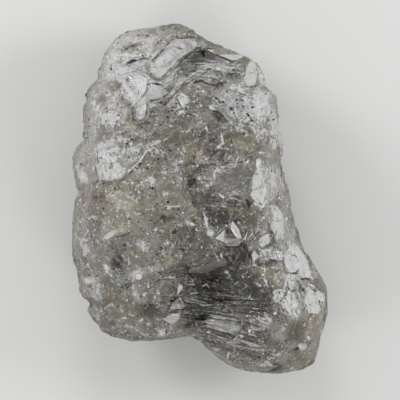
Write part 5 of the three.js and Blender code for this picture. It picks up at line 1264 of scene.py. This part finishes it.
def diamondFinish():
    made = StoneFinish("diamond")
    pale, dark, thin, clear = (made.mark(name) for name in ("pale", "dark", "thin", "clear"))
    streaky, streak, speckled = (made.mark(name) for name in ("streaky", "streak", "speckled"))
    calm, quiet = made.mark("calm"), made.mark("quiet")
    broad, middle, fine, tiny = (made.noise(*diamond[name]) for name in ("broad", "middle", "fine", "tiny"))
    shards, bigShards = (made.grains(*diamond[name])[1] for name in ("shards", "bigShards"))
    brightSlivers, darkSlivers = (made.slivers(*diamond[name]) for name in ("brightSlivers", "darkSlivers"))
    strokes, splinters = made.turnedMarks(bigShards)
    x, y = (made.add("SeparateXYZ", {}, {0: made.place}, axis) for axis in (0, 1))
    bands = made.layerStreaks(x, y)
    tiers = made.clouds(made.vectors("DIVIDE", made.place, diamond["tiers"]), detail=3.0)
    width, length, lean = diamond["upright"]
    upright = made.clouds(made.joined((x + y * lean) / width, y / length))
    broadly, closely = (made.noise(*values).step(*change) for values, change in diamond["busy"])
    rough = 1 - calm * diamond["calmed"]
    rougher = rough * (broadly * closely) * (1 - quiet * diamond["quieted"])

    # plates, their edges cut off sharply, and the dark lines round some of them
    fray, plateTone = made.mark("fray"), made.mark("plateTone")
    byNoise, byShards = diamond["frayed"]
    inward = made.mark("plate") + ((fine - 0.5) * byNoise + (shards - 0.5) * byShards) * fray
    plate = inward.step(*diamond["plateEdge"])
    begins, ends = diamond["plateLine"]
    outline = inward.step(*begins) * inward.drop(*ends)
    outline = outline * ((middle - 0.42) * 5.0).held() * (1.15 - fray * 0.6).held() * plateTone.most(0.0)

    # how pale or dark each place is, and how ragged that is
    # a plate's tone, partly painted reflection and shade, covers the patches under it
    tone, bare = plateTone * plate, 1 - plate * diamond["covered"]
    whites = pale * bare + tone.most(0.0) * (1 + (upright - 0.5) * fray * 2.2)
    darks = dark * bare * (1 + (0.5 - bands) * streaky * 0.9)
    # darker where a plate's tone is below 0, partly painted shade, and painted shade on the steepest flanks
    darks = darks - tone.least(0.0) + thin.step(0.7, 1.0) * 0.3
    shares = diamond["ragged"]
    ragged = (fine - 0.5) + (middle - 0.5) * shares["middle"] + (splinters - 0.5) * shares["splinters"]
    ragged = ragged + (strokes - 0.5) * (1 - streaky - dark * 0.6).held() * shares["strokes"]
    ribs = (bands - 0.5) * streaky * shares["bands"] + streak * shares["streak"]
    ragged = ragged * rougher + ribs * rough

    facets = broad * 0.5 + middle * 0.3 + made.mark("bigFacets") * 0.1 + made.mark("smallFacets") * 0.15
    colour = made.mix((facets + bigShards * 0.15).step(*diamond["coreEdge"]), *diamond["core"])
    for name, (tint, least, more) in diamond["tints"].items():
        colour = made.mix((made.mark(name) * (least + middle * more)).held(), colour, tint)
    share, size = diamond["drift"]
    drift = made.clouds(made.moved(91), 1 / size, 3.0, 0.7, output="Color")
    colour = made.mix(share, colour, drift, "SOFT_LIGHT")
    # painted light seen through the rim and the clear patches
    colour = made.mix((thin * 0.2 + clear * 0.75).held(), colour, diamond["thin"])
    uneven, *strengths = diamond["haze"]
    for amount, strength, name in zip((whites, darks), strengths, ("pale", "deep")):
        colour = made.mix(((amount - ragged * uneven) * strength).held(), colour, diamond[name])
    patches = diamond["patches"]
    uneven = ragged * patches["ragged"]
    for amount, less, name in ((whites + uneven, darks, "pale"), (darks - uneven, whites, "deep")):
        share = (amount - less * patches["other"]).step(*patches["edge"]) * patches["strength"]
        colour = made.mix(share, colour, diamond[name])

    # grain, slivers and scattered flecks
    fromFine, fromTiny, contrast, least = diamond["speckle"]
    speckle = (fine - 0.5) * fromFine + (tiny - 0.5) * fromTiny
    light = speckle * (speckle.size() * contrast + least) * rougher + (upright - 0.5) * plate * fray * 0.6
    light = light + (tiers - 0.5) * thin.step(0.15, 0.6) * 1.6
    colour = made.mix((light * (1.1 - darks * 0.7)).held(), colour, diamond["grain"])
    colour = made.mix((light * -1.3).held(), colour, diamond["black"])
    ofBright, ofDark = diamond["sliverStrength"]
    share = (brightSlivers * rougher * (1 - darks * 0.6) * ofBright).held()
    colour = made.mix(share, colour, diamond["white"])
    colour = made.mix((darkSlivers * rougher * ofDark).held(), colour, diamond["black"])
    cells, edge, rare = diamond["flecks"]
    away, own = made.grains(*cells)
    flecks = (away + (fine - 0.5) * 0.9).drop(*edge) * own.step(*rare)
    flecks = flecks * made.noise(*diamond["cluster"]).step(0.42, 0.6)
    colour = made.mix(flecks * rougher * (1 - streaky * 0.7 - dark * 0.5).held(), colour, diamond["white"])
    cells, edge = diamond["dots"]
    away, own = made.grains(*cells)
    dots = (away + (fine - 0.5) * 0.6).drop(*edge) * ((own - 0.9 + speckled * 0.15) * 30).held()
    colour = made.mix(dots * (rougher + speckled - calm * 0.7).held() * 0.9, colour, diamond["black"])

    # lines and specks
    wobble, swell = (fine - 0.5) * diamond["wobble"], (0.5 - middle) * diamond["swell"]
    mean, change = diamond["strength"]
    strength = (mean + (middle - 0.5) * change).held()

    def line(name):
        across = (made.mark(name + "Across") + wobble).size() + swell
        return across.drop(*diamond["lineEdge"]) * made.mark(name)

    # painted glints: highlights drawn white along the listed lines
    colour = made.mix((line("glint") * (0.5 + strength * 0.4)).held(), colour, diamond["white"])
    away = made.vectors("LENGTH", made.joined(made.mark("speckX"), made.mark("speckY")), output=1)
    drawn, spot = (away + wobble).drop(*diamond["speckEdge"]), made.mark("speck")
    lines = (line("crack") * strength + drawn * spot.most(0.0) + outline * 0.8).held()
    colour = made.mix(lines, colour, diamond["black"])
    # bright points drawn white: partly painted glints, partly pale flecks
    colour = made.mix((drawn * spot * -0.95).held(), colour, diamond["white"])

    plain, smooth, change = diamond["roughness"]
    shine = (plain + (middle - 0.5) * change) * (1 - calm) + calm * smooth
    ofFine, ofMiddle, ofSplinters, ofFlecks, ofLines = diamond["heights"]
    height = (fine * ofFine + middle * ofMiddle + splinters * ofSplinters) * rougher
    height = height + flecks * ofFlecks - lines * ofLines
    strength, distance = diamond["bump"]
    bump = made.add("Bump", {}, {"Strength": strength, "Distance": distance, "Height": height})
    surface = made.add("BsdfPrincipled", {}, {
        "Base Color": colour, "Roughness": shine.held(), "Normal": bump, "IOR": diamond["ior"],
        "Transmission Weight": diamond["transmission"], "Specular IOR Level": diamond["specular"]})
    colour, density = diamond["absorption"]
    inside = made.add("VolumeAbsorption", {}, {"Color": colour, "Density": density})
    made.add("OutputMaterial", {}, {"Surface": surface, "Volume": inside})
    return made.material


stone = shapedStone(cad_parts["rough_diamond"])
stone.data.materials.append(diamondFinish())
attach(stone, "root")
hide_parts("rough_diamond")
print("diamond finished")


# the floor, the lights and the camera, in millimetres and watts
stage = {
    "floorSize": 400.0,
    "floor": (screen(199, 199, 198), screen(187, 187, 187)),
    "mottle": (60.0, 0.1),  # scale and strength of the floor's second tone
    "floorRoughness": 0.9,
    "world": ((1.0, 1.0, 1.0, 1.0), 0.588),
    "lights": [  # place, size, power
        ((-34, 22, 24), 20, 0.0086), ((38, 6, 20), 18, 0.009), ((-4, 40, 24), 18, 0.0057),
        ((-32, -26, 22), 18, 0.0049), ((20, -36, 22), 18, 0.0048),
    ],
    "lens": 400.0,
    "sensor": 36.0,
    "clip": (0.0001, 10.0),  # in metres
    "frameWidth": 8.0,
    "aim": (0.0, -0.03, 1.6),
    "bounces": 12,
}


def floorFinish():
    made = Finish("floor")
    scale, strength = stage["mottle"]
    colour = made.mix(made.clouds(made.place, scale) * strength, *stage["floor"])
    surface = made.add("BsdfPrincipled", {}, {"Base Color": colour, "Roughness": stage["floorRoughness"]})
    made.add("OutputMaterial", {}, {"Surface": surface})
    return made.material


def laidFloor():
    half = stage["floorSize"] / 2 * mm
    mesh = bpy.data.meshes.new("floor")
    corners = [(-half, -half, 0), (half, -half, 0), (half, half, 0), (-half, half, 0)]
    mesh.from_pydata(corners, [], [(0, 1, 2, 3)])
    floor = bpy.data.objects.new("floor", mesh)
    bpy.context.scene.collection.objects.link(floor)
    mesh.materials.append(floorFinish())


def hungLights():
    target = Vector(stage["aim"]) * mm
    for number, (place, size, power) in enumerate(stage["lights"]):
        lamp = bpy.data.lights.new("softLight" + str(number), "AREA")
        lamp.shape, lamp.size, lamp.energy = "DISK", size * mm, power
        holder = bpy.data.objects.new(lamp.name, lamp)
        holder.location = Vector(place) * mm
        holder.rotation_euler = (target - holder.location).to_track_quat("-Z", "Y").to_euler()
        bpy.context.scene.collection.objects.link(holder)
    world = bpy.data.worlds.new("room")
    world.use_nodes = True
    back = world.node_tree.nodes["Background"]
    back.inputs["Color"].default_value, back.inputs["Strength"].default_value = stage["world"]
    bpy.context.scene.world = world


def setCamera():
    data = bpy.data.cameras.new("camera")
    data.lens, data.sensor_width, data.sensor_fit = stage["lens"], stage["sensor"], "HORIZONTAL"
    data.clip_start, data.clip_end = stage["clip"]
    camera = bpy.data.objects.new("camera", data)
    x, y, z = stage["aim"]
    away = stage["frameWidth"] * stage["lens"] / stage["sensor"]
    camera.location = Vector((x, y, z + away)) * mm
    bpy.context.scene.collection.objects.link(camera)
    bpy.context.scene.camera = camera


laidFloor()
hungLights()
setCamera()
scene = bpy.context.scene
scene.view_settings.view_transform = "Standard"
scene.cycles.use_denoising = True
scene.cycles.max_bounces = scene.cycles.transmission_bounces = stage["bounces"]
scene.cycles.volume_bounces = 0
print("floor, lights and camera set")
